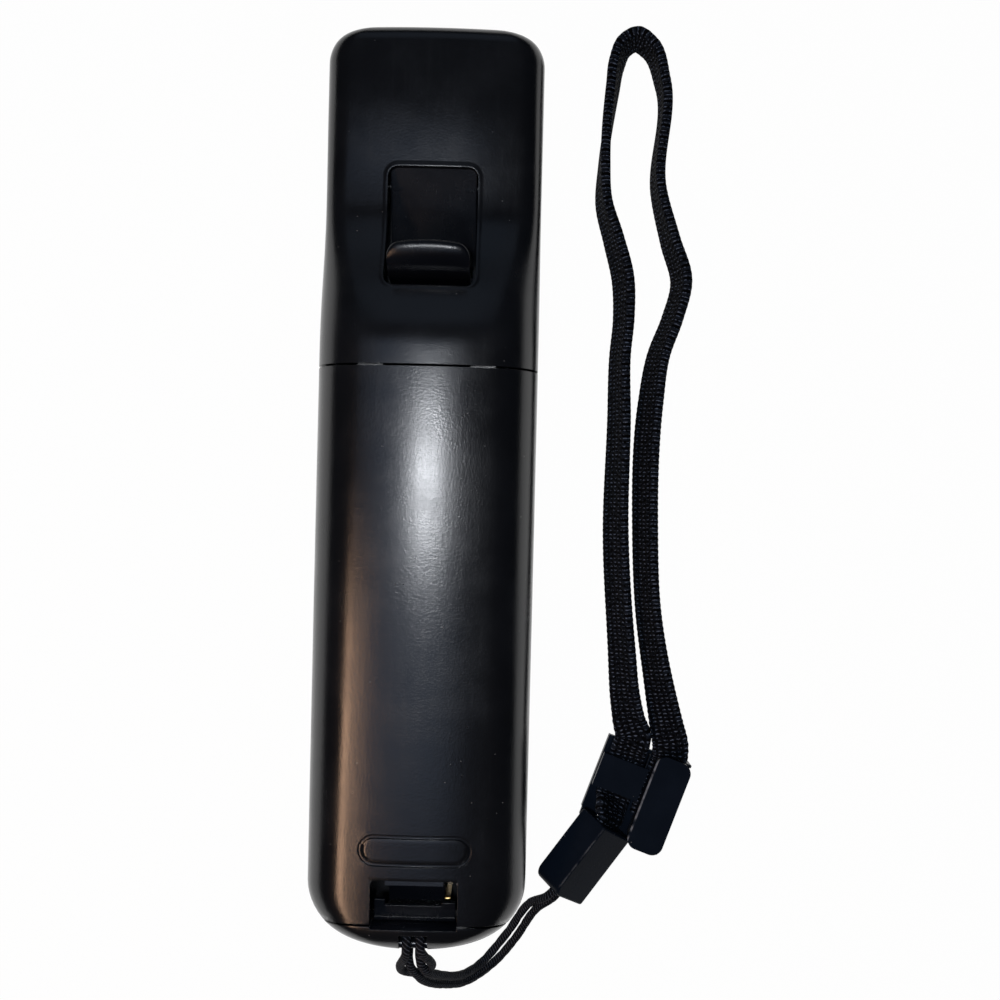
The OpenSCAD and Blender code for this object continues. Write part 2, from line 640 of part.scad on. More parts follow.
module rumble_weight() color([0.55, 0.52, 0.45]) {
    rod_y(motor_x, nose_y - 26.2, nose_y - 17, motor_z, shaft_r);
    difference() {
        rod_y(motor_x, nose_y - 26.2, nose_y - 22, motor_z, motor_r - 0.1);
        box(motor_x - 4, motor_x + 4, nose_y - 27, nose_y - 21, motor_z + 0.4, motor_z + 5);
    }
}

module light_guides() color([0.7, 0.8, 0.9])
    for (x = light_x) {
        box(x - light_half, x + light_half, light_y - light_half, light_y + light_half,
            front_z + 0.1, board_z);
        box(x - light_flange, x + light_flange, light_y - light_flange, light_y + light_flange,
            inner_z, inner_z + 0.8);
    }

module accessory_socket() color([0.85, 0.85, 0.82]) {
    difference() {
        box(-socket_w / 2, socket_w / 2, tail_y + 2, tail_y + 13.2, socket_z0, socket_z1);
        box(-socket_w / 2 + 0.4, socket_w / 2 - 0.4, tail_y - 1, tail_y + 8,
            socket_z0 + 0.35, socket_z1 - 0.35);
    }
    for (x = [-5:2:5]) box(x - 0.6, x + 0.6, tail_y + 13, tail_y + 15.5, board_top, board_top + 0.4);
}

// Battery bay contents

module cell(x, nose_up) color([0.55, 0.56, 0.58]) {
    y0 = nose_up ? cell_tail_y : cell_tail_y + 1.2;
    rod_y(x, y0, y0 + cell_len - 1.2, cell_z, cell_r);
    rod_y(x, cell_tail_y, cell_nose_y, cell_z, 2.7);
}

module battery_left() cell(-cell_x, true);
module battery_right() cell(cell_x, false);

module contact_coil(x, y, way) {
    path = [for (i = [0:25]) [x + (4.6 - 0.115 * i) * cos(36 * i), y + way * (0.35 + 0.047 * i),
        cell_z + (4.6 - 0.115 * i) * sin(36 * i)]];
    skin(tube_rings(path, 0.3, 6));
}

module contact_springs() color([0.8, 0.8, 0.78]) {
    contact_coil(-cell_x, bay_tail_y + bay_wall, 1);
    contact_coil(cell_x, bay_nose_y, -1);
}

module contact_plates() color([0.8, 0.65, 0.3]) {
    t = 0.4;
    y = bay_tail_y + bay_wall;
    box(cell_x - 4.5, cell_x + 4.5, y, y + t, bay_z + 1, bay_top + t);
    box(-cell_x - 4.5, -cell_x + 4.5, bay_nose_y - t, bay_nose_y, bay_z + 1, bay_top);
    box(cell_x - 2.3, cell_x - 0.8, bay_tail_y - 1.6, y + t, bay_top, bay_top + t);
    box(cell_x - 2.3, cell_x - 0.8, bay_tail_y - 1.6, bay_tail_y - 1.6 + t, bay_top - 3, bay_top + t);
}

module case_screws() color([0.6, 0.6, 0.62])
    for (p = screw_at) translate([p[0], p[1], 0]) difference() {
        union() {
            translate([0, 0, inner_z + 0.4]) cylinder(r = screw_r, h = bay_z - inner_z);
            translate([0, 0, bay_z]) cylinder(r = head_r, h = 1.3);
        }
        for (a = [0, 90]) translate([0, 0, bay_z + 1.3]) rotate(a) cube([2, 0.5, 1.4], center = true);
    }

module strap_bar() color([0.1, 0.1, 0.11])
    rod_x(-notch_w / 2 - 1.4, notch_w / 2 + 1.4, bar_y, bar_z, bar_r);

// Strap beside the wand. Both routes are measured points in place.

cord_route = [[24.9, -69.8, 4.9], [23.5, -71.5, 4.7], [20.6, -74.2, 2.8], [16.8, -80.4, 0.9], [14.2, -83.6, 1],
    [8.4, -86.2, 6.2], [5.4, -85.2, 10.6], [0.4, -81.2, 17.8], [-0.7, -79, 19.4], [-0.9, -74.8, 19.95],
    [-0.95, -73.6, 20.4], [-1, -73.1, 21.4], [-1.05, -73.2, 22.4], [-1.1, -74, 23.1], [-1.15, -75.2, 23.2],
    [-1.3, -76.5, 22.5], [-1.8, -77.8, 21.1], [-2.3, -79.2, 19.4], [-2, -80.4, 17.9], [-0.8, -81, 17],
    [0.8, -81, 16.9], [2.2, -80.3, 17.5], [2.9, -79.1, 18.9], [2.5, -77.7, 20.7], [1.7, -76.4, 22.4],
    [1.2, -75.2, 23.2], [1.1, -74, 23.1], [1.05, -73.2, 22.4], [1, -73.1, 21.4], [0.95, -73.6, 20.4],
    [0.9, -74.8, 19.95], [1.1, -78.8, 19.5], [2, -80.4, 18.4], [3.6, -81.8, 15.6], [8.5, -84.4, 7.2],
    [11, -83.9, 3.4], [15.4, -79.4, 0.9], [19.2, -73.4, 2.8], [22.6, -70.8, 5.9], [23.9, -69.1, 6.1]];

module strap_cord() color([0.1, 0.1, 0.11]) skin(tube_rings(smooth(cord_route, 2), cord_d / 2, 8));

// Block, turned about its length as it lies
block_at = [28.15, -64.25, 5.5];
block_corner_r = 2.1;
block_turn = -36;
block_roll = 44;
block_a = 6;
block_b = 9.2;
block_t_slot = web_t + 0.5;
block_w_slot = web_w + 0.5;

module block_frame() translate(block_at) rotate([0, 0, block_turn]) rotate([0, -block_roll, 0]) children();

// Side view of the block, with one round corner at the cord's end
function block_outline(l, b, r) = concat([[-l, -b], [l, -b], [l, b]],
    [for (a = [90:15:180]) [-l + r + r * cos(a), b - r + r * sin(a)]]);

module cord_block() color([0.08, 0.09, 0.1]) block_frame() difference() {
    translate([-block_a / 2, 0, 0]) rotate([90, 0, 90]) linear_extrude(block_a)
        polygon(block_outline(block_len / 2, block_b / 2, block_corner_r));
    translate([-block_t_slot / 2, block_len / 2 - 1.4, -block_w_slot / 2])
        cube([block_t_slot, 2, block_w_slot]);
    translate([-1.1, -block_len / 2 - 1, -2]) cube([2.2, 2.4, 4]);
}

// Webbing points with the turn of the band about its way, 0 lying flat
web_route = [[31.9, -59.1, 5.5, -46], [32.7, -57.9, 5.3, -46], [32.93, -56.19, 4.3, -34],
    [33.39, -54.78, 2.6, -12], [33.83, -53.43, 2.06, 0], [34.7, -51, 2.06, 0], [35.6, -48.4, 2.05, 0],
    [36.2, -46, 2.1, 1], [36.85, -43.7, 2.85, 12], [36, -40.6, 3.2, 32], [35.2, -36.5, 3.3, 43],
    [34.4, -28.5, 3.4, 51], [32.8, -7.5, 3.4, 57], [32.9, 12.5, 3.4, 63],
    [32.8, 23.7, 3.4, 68], [33.3, 30.4, 3.4, 68], [33, 37.3, 3.4, 66], [31.2, 44.2, 3.4, 70],
    [29.3, 50.8, 3.4, 78], [29.2, 57.6, 3.4, 88], [30.4, 71, 3.4, 103], [31, 75.3, 3.4, 107],
    [32.4, 78.6, 3.4, 108], [34.4, 79.7, 3.4, 107], [36.7, 78.3, 3.4, 104], [39.2, 72, 3.4, 97],
    [38.9, 53, 3.4, 98], [41.2, 44.2, 3.4, 106], [43.3, 37, 3.4, 110], [41.9, 30.6, 3.4, 112],
    [39.6, 24, 3.4, 115], [38.4, 15.5, 3.4, 121], [38, -7.5, 3.4, 122], [38.8, -20.5, 3.4, 122],
    [41.4, -35.5, 3.25, 136], [42.7, -41.4, 2.85, 152], [43.5, -45.05, 2.5, 168], [43.42, -47.55, 2.05, 179],
    [42.4, -50.2, 2, 180], [39.6, -58, 2, 180]];

function band_ring(p, i) =
    let (q = [for (a = p) place(a)], t = along(q, i), h = unit(cross(t, [0, 0, 1])),
        u = cross(h, t), w = h * cos(p[i][3]) + u * sin(p[i][3]), n = cross(t, w),
        a = web_w / 2, b = web_t / 2, c = 0.35)
    [for (k = [[a, -b + c], [a, b - c], [a - c, b], [c - a, b], [-a, b - c], [-a, c - b],
            [c - a, -b], [a - c, -b]])
        q[i] + w * k[0] + n * k[1]];

module strap_webbing() color([0.09, 0.09, 0.1]) {
    way = smooth(web_route, 2);
    skin([for (i = [0:len(way) - 1]) band_ring(way, i)]);
}

// Lock on the webbing
lock_at = [37.1, -53.5, 0];
lock_turn = -20;
lock_floor = 1;
lock_wall_z = lock_floor + web_t + 0.5;
lever_z = lock_wall_z + 0.45;
lever_h = 2.9;
lever_r = 1.6;
lever_axis = [7, lever_z + 0.5];

module lock_frame() translate(lock_at) rotate(lock_turn) children();

module lock_base() color([0.08, 0.09, 0.1]) lock_frame() difference() {
    union() {
        box(-7.5, 0.8, -5.7, 8, 0, lock_floor);
        box(0.4, 7.5, -6.8, 8, 0, lock_floor);
        box(-7.5, -6.75, -5.7, 8, 0, lock_wall_z);
        box(0.25, 0.55, -1, 7.4, 0, lock_wall_z);
        box(7.2, 7.6, -8.4, 8.6, 0, lock_floor + 1);
        box(-7.5, 0.95, -1, 5, lock_wall_z - 0.2, lock_wall_z + 0.7);
        box(7.2, 7.6, 8.05, 8.6, 0, lever_axis[1] + 0.8);
        box(6.2, 7.6, 8.05, 8.6, lock_wall_z, lever_axis[1] + 0.8);
        box(6.2, 7.6, -8.4, -7.85, 0, lever_axis[1] + 0.8);
    }
    rod_y(lever_axis[0], -10, 10, lever_axis[1], 0.4 + slip);
}

module lock_lever() color([0.06, 0.08, 0.1]) lock_frame() difference() {
    translate([0, 0, lever_z]) linear_extrude(lever_h) union() {
        translate([1.2, lever_r - 7.6]) square([6.3, 15.5 - 2 * lever_r]);
        translate([1.2 + lever_r, -7.6]) square([6.3 - 2 * lever_r, 15.5]);
        for (x = [1.2 + lever_r, 7.5 - lever_r]) for (y = [lever_r - 7.6, 7.9 - lever_r])
            translate([x, y]) circle(r = lever_r);
    }
    rod_y(lever_axis[0], -10, 10, lever_axis[1], 0.4 + run);
    difference() {
        box(6.6, 9, -9, 9, lever_z - 1, lever_axis[1]);
        rod_y(lever_axis[0], -10, 10, lever_axis[1], 0.75);
    }
}

module lock_pin() color([0.08, 0.09, 0.1]) lock_frame() rod_y(lever_axis[0], -8.35, 8.55, lever_axis[1], 0.4);

front_shell();
rear_shell();
ir_window();
camera_module();
main_board();
board_chips();
radio_shield();
keypad_upper();
keypad_middle();
keypad_lower();
speaker();
rumble_motor();
motor_cradle();
rumble_weight();
light_guides();
accessory_socket();
contact_springs();
contact_plates();
battery_left();
battery_right();
case_screws();
strap_bar();
trigger();
trigger_pin();
trigger_spring();
trigger_switch();
power_button();
dpad();
dpad_pivot();
main_button();
minus_button();
home_button();
plus_button();
one_button();
two_button();
sync_button();
battery_cover();
cover_latch();
strap_cord();
cord_block();
strap_webbing();
lock_base();
lock_lever();
lock_pin();
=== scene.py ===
# %% [markdown]
# # A motion controller wand with its wrist strap
# The wand lies face down on its buttons, so the picture shows its back: the nose with the trigger in a
# scoop, the long battery cover, and the tail where a thin cord ties on a strap of webbing.
# The measured model comes in first and stays fixed. Everything below is dressed over it in the same frame,
# in metres, with sizes written in millimetres and multiplied by one constant.

# %% Load the measured frame
import json
import math

import bmesh
import bpy
import numpy as np
from mathutils import Matrix, Vector


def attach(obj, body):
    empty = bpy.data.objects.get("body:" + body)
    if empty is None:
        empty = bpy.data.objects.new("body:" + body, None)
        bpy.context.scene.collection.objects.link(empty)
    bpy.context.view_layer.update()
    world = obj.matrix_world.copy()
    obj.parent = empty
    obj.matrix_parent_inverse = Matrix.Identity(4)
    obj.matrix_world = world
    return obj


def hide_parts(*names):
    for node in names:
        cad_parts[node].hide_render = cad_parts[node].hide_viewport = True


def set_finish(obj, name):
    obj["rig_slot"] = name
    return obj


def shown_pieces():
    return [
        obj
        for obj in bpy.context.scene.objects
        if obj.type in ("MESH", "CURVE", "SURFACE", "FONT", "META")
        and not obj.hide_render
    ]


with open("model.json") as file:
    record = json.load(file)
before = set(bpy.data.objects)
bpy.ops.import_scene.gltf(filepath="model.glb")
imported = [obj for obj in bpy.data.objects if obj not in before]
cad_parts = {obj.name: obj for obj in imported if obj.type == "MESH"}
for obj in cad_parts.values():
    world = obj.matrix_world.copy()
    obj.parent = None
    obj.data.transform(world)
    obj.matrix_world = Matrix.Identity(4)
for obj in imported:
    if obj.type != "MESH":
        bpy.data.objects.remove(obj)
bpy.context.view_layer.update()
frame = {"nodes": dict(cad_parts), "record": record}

MM = 0.001

# %% [markdown]
# ## The camera
# A phone took the picture from close above. A camera this near shows perspective: the high hump looks larger
# than the tail. A long lens from far away would be easier, but only the true distance gives the true outline.

# %% Camera straight above the wand
camera_at = Vector((12.26, -2.2, 237)) * MM
camera_roll = 1.4
focal_in_images = 1.323
sensor_width = 36

lens = bpy.data.cameras.new("photo_camera")
lens.sensor_width = sensor_width
lens.lens = sensor_width * focal_in_images
lens.clip_start = 0.01
camera = bpy.data.objects.new("photo_camera", lens)
camera.location = camera_at
camera.rotation_euler = (0, 0, math.radians(camera_roll))
bpy.context.collection.objects.link(camera)
bpy.context.scene.camera = camera
print("lens", round(lens.lens, 1), "mm at", round(camera_at.z / MM), "mm")

# %% [markdown]
# ## The strap's two ways
# A cord is easiest to place as a short list of given points, with a curve drawn through
# them. A Bezier curve object could do that, but the webbing also twists about its way, so the points carry a
# fourth number, the turn of the band, and one function smooths all four alike.

# %% Points of the thin cord and of the webbing
cord_route = [
    [24.9, -69.8, 4.9], [23.5, -71.5, 4.7], [20.6, -74.2, 2.8], [16.8, -80.4, 0.9], [14.2, -83.6, 1],
    [8.4, -86.2, 6.2], [5.4, -85.2, 10.6], [0.4, -81.2, 17.8], [-0.7, -79, 19.4], [-0.9, -74.8, 19.95],
    [-0.95, -73.6, 20.4], [-1, -73.1, 21.4], [-1.05, -73.2, 22.4], [-1.1, -74, 23.1], [-1.15, -75.2, 23.2],
    [-1.3, -76.5, 22.5], [-1.8, -77.8, 21.1], [-2.3, -79.2, 19.4], [-2, -80.4, 17.9], [-0.8, -81, 17],
    [0.8, -81, 16.9], [2.2, -80.3, 17.5], [2.9, -79.1, 18.9], [2.5, -77.7, 20.7], [1.7, -76.4, 22.4],
    [1.2, -75.2, 23.2], [1.1, -74, 23.1], [1.05, -73.2, 22.4], [1, -73.1, 21.4], [0.95, -73.6, 20.4],
    [0.9, -74.8, 19.95], [1.1, -78.8, 19.5], [2, -80.4, 18.4], [3.6, -81.8, 15.6], [8.5, -84.4, 7.2],
    [11, -83.9, 3.4], [15.4, -79.4, 0.9], [19.2, -73.4, 2.8], [22.6, -70.8, 5.9], [23.9, -69.1, 6.1]]

web_route = [
    [31.9, -59.1, 5.5, -46], [32.7, -57.9, 5.3, -46], [32.93, -56.19, 4.3, -34],
    [33.39, -54.78, 2.6, -12], [33.83, -53.43, 2.06, 0], [34.7, -51, 2.06, 0], [35.6, -48.4, 2.05, 0],
    [36.2, -46, 2.1, 1], [36.85, -43.7, 2.85, 12], [36, -40.6, 3.2, 32], [35.2, -36.5, 3.3, 43],
    [34.4, -28.5, 3.4, 51], [32.8, -7.5, 3.4, 57], [32.9, 12.5, 3.4, 63],
    [32.8, 23.7, 3.4, 68], [33.3, 30.4, 3.4, 68], [33, 37.3, 3.4, 66], [31.2, 44.2, 3.4, 70],
    [29.3, 50.8, 3.4, 78], [29.2, 57.6, 3.4, 88], [30.4, 71, 3.4, 103], [31, 75.3, 3.4, 107],
    [32.4, 78.6, 3.4, 108], [34.4, 79.7, 3.4, 107], [36.7, 78.3, 3.4, 104], [39.2, 72, 3.4, 97],
    [38.9, 53, 3.4, 98], [41.2, 44.2, 3.4, 106], [43.3, 37, 3.4, 110], [41.9, 30.6, 3.4, 112],
    [39.6, 24, 3.4, 115], [38.4, 15.5, 3.4, 121], [38, -7.5, 3.4, 122], [38.8, -20.5, 3.4, 122],
    [41.4, -35.5, 3.25, 136], [42.7, -41.4, 2.85, 152], [43.5, -45.05, 2.5, 168], [43.42, -47.55, 2.05, 179],
    [42.4, -50.2, 2, 180], [39.6, -58, 2, 180]]


def smooth_way(points, step):
    """A smooth way through the points, cut about every step millimetres."""
    p = np.array(points, float)
    gap = np.linalg.norm(np.diff(p[:, :3], axis=0), axis=1)[:, None]
    chord = np.diff(p, axis=0) / gap
    between = (chord[:-1] * gap[1:] + chord[1:] * gap[:-1]) / (gap[:-1] + gap[1:])
    slope = np.vstack([chord[:1], between, chord[-1:]])
    way = []
    for i, d in enumerate(gap[:, 0]):
        for u in np.arange(0, 1, 1 / max(2, round(d / step))):
            v = 1 - u
            way.append((1 + 2 * u) * v * v * p[i] + u * v * v * d * slope[i]
                       + (1 + 2 * v) * u * u * p[i + 1] - v * u * u * d * slope[i + 1])
    return np.array(way + [p[-1]])


def unit(v):
    return v / np.linalg.norm(v, axis=-1, keepdims=True)


def headings(way):
    """The direction of the way at each of its points."""
    return unit(np.gradient(way[:, :3], axis=0))


def travelled(way):
    """Length of the way up to each point."""
    return np.concatenate([[0], np.cumsum(np.linalg.norm(np.diff(way[:, :3], axis=0), axis=1))])


cord_step, web_step = 0.35, 0.25
cord_way = smooth_way(cord_route, cord_step)
web_way = smooth_way(web_route, web_step)
print("cord", round(travelled(cord_way)[-1], 1), "mm, webbing", round(travelled(web_way)[-1], 1), "mm")

# %% [markdown]
# ## From points to pieces
# Every new piece is a mesh given as points and faces in millimetres. One helper scales it. Another welds it,
# turns its faces outwards, and says which body it rides on, which finish it takes and which measured solids
# it replaces.

# %% Helpers that make a piece


def bare_mesh(name, points, faces):
    mesh = bpy.data.meshes.new(name)
    mesh.from_pydata([Vector(p) * MM for p in points], [], [list(f) for f in faces])
    obj = bpy.data.objects.new(name, mesh)
    bpy.context.collection.objects.link(obj)
    return obj


weld = 0.002 * MM


def tidy_faces(obj):
    """Welds points that meet and turns every face outwards."""
    bm = bmesh.new()
    bm.from_mesh(obj.data)
    bmesh.ops.remove_doubles(bm, verts=bm.verts, dist=weld)
    bmesh.ops.recalc_face_normals(bm, faces=bm.faces)
    for face in bm.faces:
        face.smooth = True
    bm.to_mesh(obj.data)
    bm.free()


def seat(obj, body, slot, *nodes):
    """Puts a finished piece on its body."""
    tidy_faces(obj)
    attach(obj, body)
    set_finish(obj, slot)
    if nodes:
        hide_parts(*nodes)
    print(obj.name, len(obj.data.polygons), "faces on", body)


def soften(obj, width, angle=60, segments=3):
    """Rounds the sharp edges and keeps the large faces flat in the shading."""
    bevel = obj.modifiers.new("edge_round", "BEVEL")
    bevel.width = width * MM
    bevel.segments = segments
    bevel.limit_method = "ANGLE"
    bevel.angle_limit = math.radians(angle)
    bevel.miter_outer = "MITER_ARC"
    normals = obj.modifiers.new("flat_faces", "WEIGHTED_NORMAL")
    normals.keep_sharp = True


def swept(rings):
    """Points and faces of a closed skin over equal rings, with an end face on each end."""
    rows, cols = rings.shape[:2]
    at = np.arange(rows * cols).reshape(rows, cols)
    nxt = np.roll(at, -1, axis=1)
    sides = np.stack([at[:-1], nxt[:-1], nxt[1:], at[1:]], axis=-1).reshape(-1, 4)
    return rings.reshape(-1, 3), [*sides.tolist(), at[0].tolist(), at[-1][::-1].tolist()]


map_span = 100


def route_map(obj, along, across):
    """A texture map along a way and across it, where one unit stands for map_span millimetres."""
    layer = obj.data.uv_layers.new(name="route")
    uv = np.stack([along, across], axis=-1) / map_span
    index = np.empty(len(obj.data.loops), int)
    obj.data.loops.foreach_get("vertex_index", index)
    layer.data.foreach_set("uv", uv[index].astype(np.float32).ravel())


# %% [markdown]
# ## The thin cord
# It is a round braid about as thick as a match is wide, doubled and tied to the bar in the tail with a girth
# hitch. A curve with a round bevel would give a smooth hose, so the tube is swept in code instead, and two
# opposed helices lift its skin into the plaited strands.

# %% Braided cord
cord_d = 1.5
cord_sides = 20
braid_lobes = 4
braid_pitch = 3.2
braid_lift = 0.07
first_side = (0.3, 0.2, 0.93)


def carried_frames(way):
    """Two side directions along a way, carried on without twist."""
    heading = headings(way)
    side = np.array(first_side)
    out = []
    for t in heading:
        side = unit(side - t * (side @ t))
        out.append(side)
    first = np.array(out)
    return first, np.cross(heading, first)


turn = np.linspace(0, 2 * math.pi, cord_sides, endpoint=False)
run = travelled(cord_way)[:, None] * 2 * math.pi / braid_pitch
plait = np.maximum(np.cos(braid_lobes * turn + run), np.cos(braid_lobes * turn - run))
cord_r = cord_d / 2 * (1 - braid_lift + braid_lift * plait)
side_a, side_b = carried_frames(cord_way)
rings = cord_way[:, None, :3] + cord_r[..., None] * (
    side_a[:, None] * np.cos(turn)[:, None] + side_b[:, None] * np.sin(turn)[:, None])
strap_cord = bare_mesh("strap_cord_braid", *swept(rings))
route_map(strap_cord, np.repeat(travelled(cord_way), cord_sides),
          np.tile(turn / (2 * math.pi) * cord_d * math.pi, len(cord_way)))
seat(strap_cord, "housing", "cord", "strap_cord")

# %% [markdown]
# ## The webbing
# The wrist loop is a flat knitted tape, thick at its two chain-stitched edges. It stands on edge along the
# loop and lies flat in the lock, so each cross section is turned by the fourth number of the route. Most
# points of a section sit on the edge beads, where the eye sees the stitches.

# %% Knitted tape
web_w = 6.5
web_t = 1.7
bead_points, face_points = 9, 3
face_share = 0.82
stitch = 1.05
stitch_lift = 0.13

bead = np.linspace(-math.pi / 2, math.pi / 2, bead_points)
bead_r = web_t / 2
core_half = web_w / 2 - bead_r
right = np.stack([core_half + bead_r * np.cos(bead), bead_r * np.sin(bead)], axis=-1)
face_x = np.linspace(core_half, -core_half, face_points + 2)[1:-1]
top = np.stack([face_x, np.full(face_points, bead_r * face_share)], axis=-1)
section = np.concatenate([right, top, -right, -top])
edge = np.clip((np.abs(section[:, 0]) - core_half) / bead_r, 0, 1)

heading = headings(web_way)
level = unit(np.cross(heading, [0, 0, 1]))
rise = np.cross(level, heading)
tilt = np.radians(web_way[:, 3:4])
across = level * np.cos(tilt) + rise * np.sin(tilt)
through = np.cross(heading, across)
knots = np.cos(2 * math.pi * travelled(web_way) / stitch)[:, None]
swell = 1 - stitch_lift * edge * (0.5 - 0.5 * knots)
core = np.sign(section[:, 0]) * core_half * edge.astype(bool)
w = core + (section[:, 0] - core) * swell
h = section[:, 1] * swell
rings = web_way[:, None, :3] + across[:, None] * w[..., None] + through[:, None] * h[..., None]
strap_webbing = bare_mesh("strap_webbing_tape", *swept(rings))
route_map(strap_webbing, np.repeat(travelled(web_way), len(section)), w.ravel())
seat(strap_webbing, "housing", "webbing", "strap_webbing")

# %% [markdown]
# ## The shape of the body
# The back of the wand is one moulded skin: straight sides, a tight shoulder and a flat crown arc. It swells
# from a shallow scoop under the trigger to a hump at the seam. A subdivided cube could be pushed into this
# shape by hand. A few short formulas are surer, because the nose, the cover and the tail then share one skin
# and their seams meet.

# %% Formulas of the back
half_w = 18
nose_y = 75.5
tail_y = -75.5
split_z = 12
scoop_z, hump_z, nose_z, tail_z = 20, 28.8, 20.8, 25.8
scoop_y, hump_y, level_y = 46, 22, 64
seam_y, tail_seam_y, seam_tilt = 18.8, -70.7, math.radians(7.4)
nose_corner, nose_r = (5.5, 5.5), 2.6
tail_corner, tail_r = (12.8, 10.3), 4.5
shoulder_r, crown_r = (4, 9), (110, 55)
least_r, least_side = 0.8, 1.2
part_gap = 0.35
wall, cover_wall = 1.8, 1.5
arc_points = 40
settle_rounds = 5
corner_step = 6


def mixed(a, b, t):
    return a + (b - a) * t


def swing(t):
    """Eases from 0 to 1 as t does, level at both ends."""
    return (1 - math.cos(math.pi * min(1, max(0, t)))) / 2


def body_half(y, t):
    """Half width of the body at y, drawn in by t."""
    cx, cy = nose_corner if y > 0 else tail_corner
    start = nose_y - cy if y > 0 else -(tail_y + cy)
    d = max(0, abs(y) - start) / (cy - t)
    return half_w - cx + (cx - t) * math.sqrt(max(0, 1 - d * d))


def crown_line(y):
    """Height of the crown before its ends are rounded."""
    if y < hump_y:
        return mixed(tail_z, hump_z, math.sin(math.pi / 2 * min(1, max(0, (y - tail_y) / (hump_y - tail_y)))))
    if y < scoop_y:
        return mixed(hump_z, scoop_z, swing((y - hump_y) / (scoop_y - hump_y)))
    return mixed(scoop_z, nose_z, swing((y - scoop_y) / (level_y - scoop_y)))


def end_drop(d, r):
    """How far a round end of radius r has fallen, d past its start."""
    return 0 if d <= 0 else r - math.sqrt(max(0, r * r - d * d))


def crown(y, t):
    """Height of the crown with its ends rounded, drawn in by t."""
    return (crown_line(y) - t - end_drop(y - nose_y + nose_r, nose_r - t)
            - end_drop(tail_y + tail_r - y, tail_r - t))


def arcs(y, t, z_low):
    """Half width, top, shoulder radius, crown radius, shoulder centre and meeting angle of a section."""
    full = min(1, max(0, (crown_line(y) - scoop_z) / (hump_z - scoop_z)))
    hw, top = body_half(y, t), crown(y, t)
    rc = max(least_r, min(mixed(*shoulder_r, full) - t, hw - least_r, top - z_low - least_side))
    rk = mixed(*crown_r, full) - t
    b = math.asin((hw - rc) / (rk - rc))
    return hw, top, rc, rk, hw - rc, top - rk + (rk - rc) * math.cos(b), b


def back_height(x, y, t=0, z_low=split_z):
    """Height of the skin over a point of the plan."""
    _, top, rc, rk, cx, cz, b = arcs(y, t, z_low)
    if abs(x) <= rk * math.sin(b):
        return top - rk + math.sqrt(rk * rk - x * x)
    return cz + math.sqrt(max(0, rc * rc - (abs(x) - cx) ** 2))


def half_outline(y, t, z_low, x_in, count):
    """Points x, z down one half of a section from x_in to its lower edge, evenly spaced."""
    hw, top, rc, rk, cx, cz, b = arcs(y, t, z_low)
    x_end = rk * math.sin(b)
    fine = []
    if x_in < x_end:
        fine += [(x, top - rk + math.sqrt(rk * rk - x * x)) for x in np.linspace(x_in, x_end, arc_points)]
        start = math.pi / 2 - b
    else:
        start = math.acos(min(1, (x_in - cx) / rc))
    fine += [(cx + rc * math.cos(a), cz + rc * math.sin(a)) for a in np.linspace(start, 0, arc_points)]
    fine = np.array(fine + [(hw, z_low)])
    length = np.concatenate([[0], np.cumsum(np.linalg.norm(np.diff(fine, axis=0), axis=1))])
    even = np.linspace(0, length[-1], count)
    return np.stack([np.interp(even, length, fine[:, 0]), np.interp(even, length, fine[:, 1])], axis=-1)


def skin_row(y, t, z_low, middle, outer):
    """One row of points over the back: fixed columns in the middle, even ones down both sides."""
    half = half_outline(y, t, z_low, middle[-1], outer)[1:]
    mid = [(x, back_height(x, y, t, z_low)) for x in middle]
    row = [(-x, z) for x, z in half[::-1]] + mid + [(x, z) for x, z in half]
    return np.array([(x, y, z) for x, z in row])


def tilted_row(shift, t, z_low, middle, outer, share=0, level_at=0):
    """A row along the tilted tail seam, or a share of the way from it to a level station."""
    ys = np.full(len(middle) + 2 * (outer - 1), tail_seam_y)
    for _ in range(settle_rounds):
        z = np.array([skin_row(y, t, z_low, middle, outer)[j, 2] for j, y in enumerate(ys)])
        ys = tail_seam_y + shift / math.cos(seam_tilt) + (z - tail_z) * math.tan(seam_tilt)
    ys = ys + (level_at - ys) * share
    return np.array([skin_row(y, t, z_low, middle, outer)[j] for j, y in enumerate(ys)])


print("crown over seam", round(crown(seam_y, 0), 2), "tail", round(crown(tail_seam_y, 0), 2))

# %% [markdown]
# ## Thick sheets with holes
# A moulding is a sheet with a wall behind it. Solidify could thicken a sheet, but it turns corners badly, so
# the inner wall is drawn from the same formulas with the wall taken off, and the two grids are joined along
# every free edge. A hole leaves a rectangle of the grid open, and rings lead from there to its true outline.

# %% Sheets, rings and outlines


def grid_faces(shape, offset=0, gone=lambda i, j: False):
    """Faces of a grid of points, without those that are gone, and its free edges."""
    rows, cols = shape
    faces, edges = [], set()
    for i in range(rows - 1):
        for j in range(cols - 1):
            if gone(i, j):
                continue
            a = offset + i * cols + j
            quad = [a, a + 1, a + 1 + cols, a + cols]
            faces.append(quad)
            edges.update(zip(quad, quad[1:] + quad[:1]))
    return faces, {(a - offset, b - offset) for a, b in edges if (b, a) not in edges}


def thick_sheet(outer, inner, gone_out, gone_in):
    """Points and faces of two grids joined along the edges that are free in both."""
    shape = outer.shape[:2]
    n = shape[0] * shape[1]
    front, free_out = grid_faces(shape, 0, gone_out)
    back, free_in = grid_faces(shape, n, gone_in)
    walls = [[b, a, a + n, b + n] for a, b in free_out & free_in]
    return [*outer.reshape(-1, 3), *inner.reshape(-1, 3)], front + back + walls


def hole_loop(cols, i0, i1, j0, j1):
    """Point numbers round a rectangle of a grid."""
    way_round = ([(i0, j) for j in range(j0, j1)] + [(i, j1) for i in range(i0, i1)]
                 + [(i1, j) for j in range(j1, j0, -1)] + [(i, j0) for i in range(i1, i0, -1)])
    return [i * cols + j for i, j in way_round]


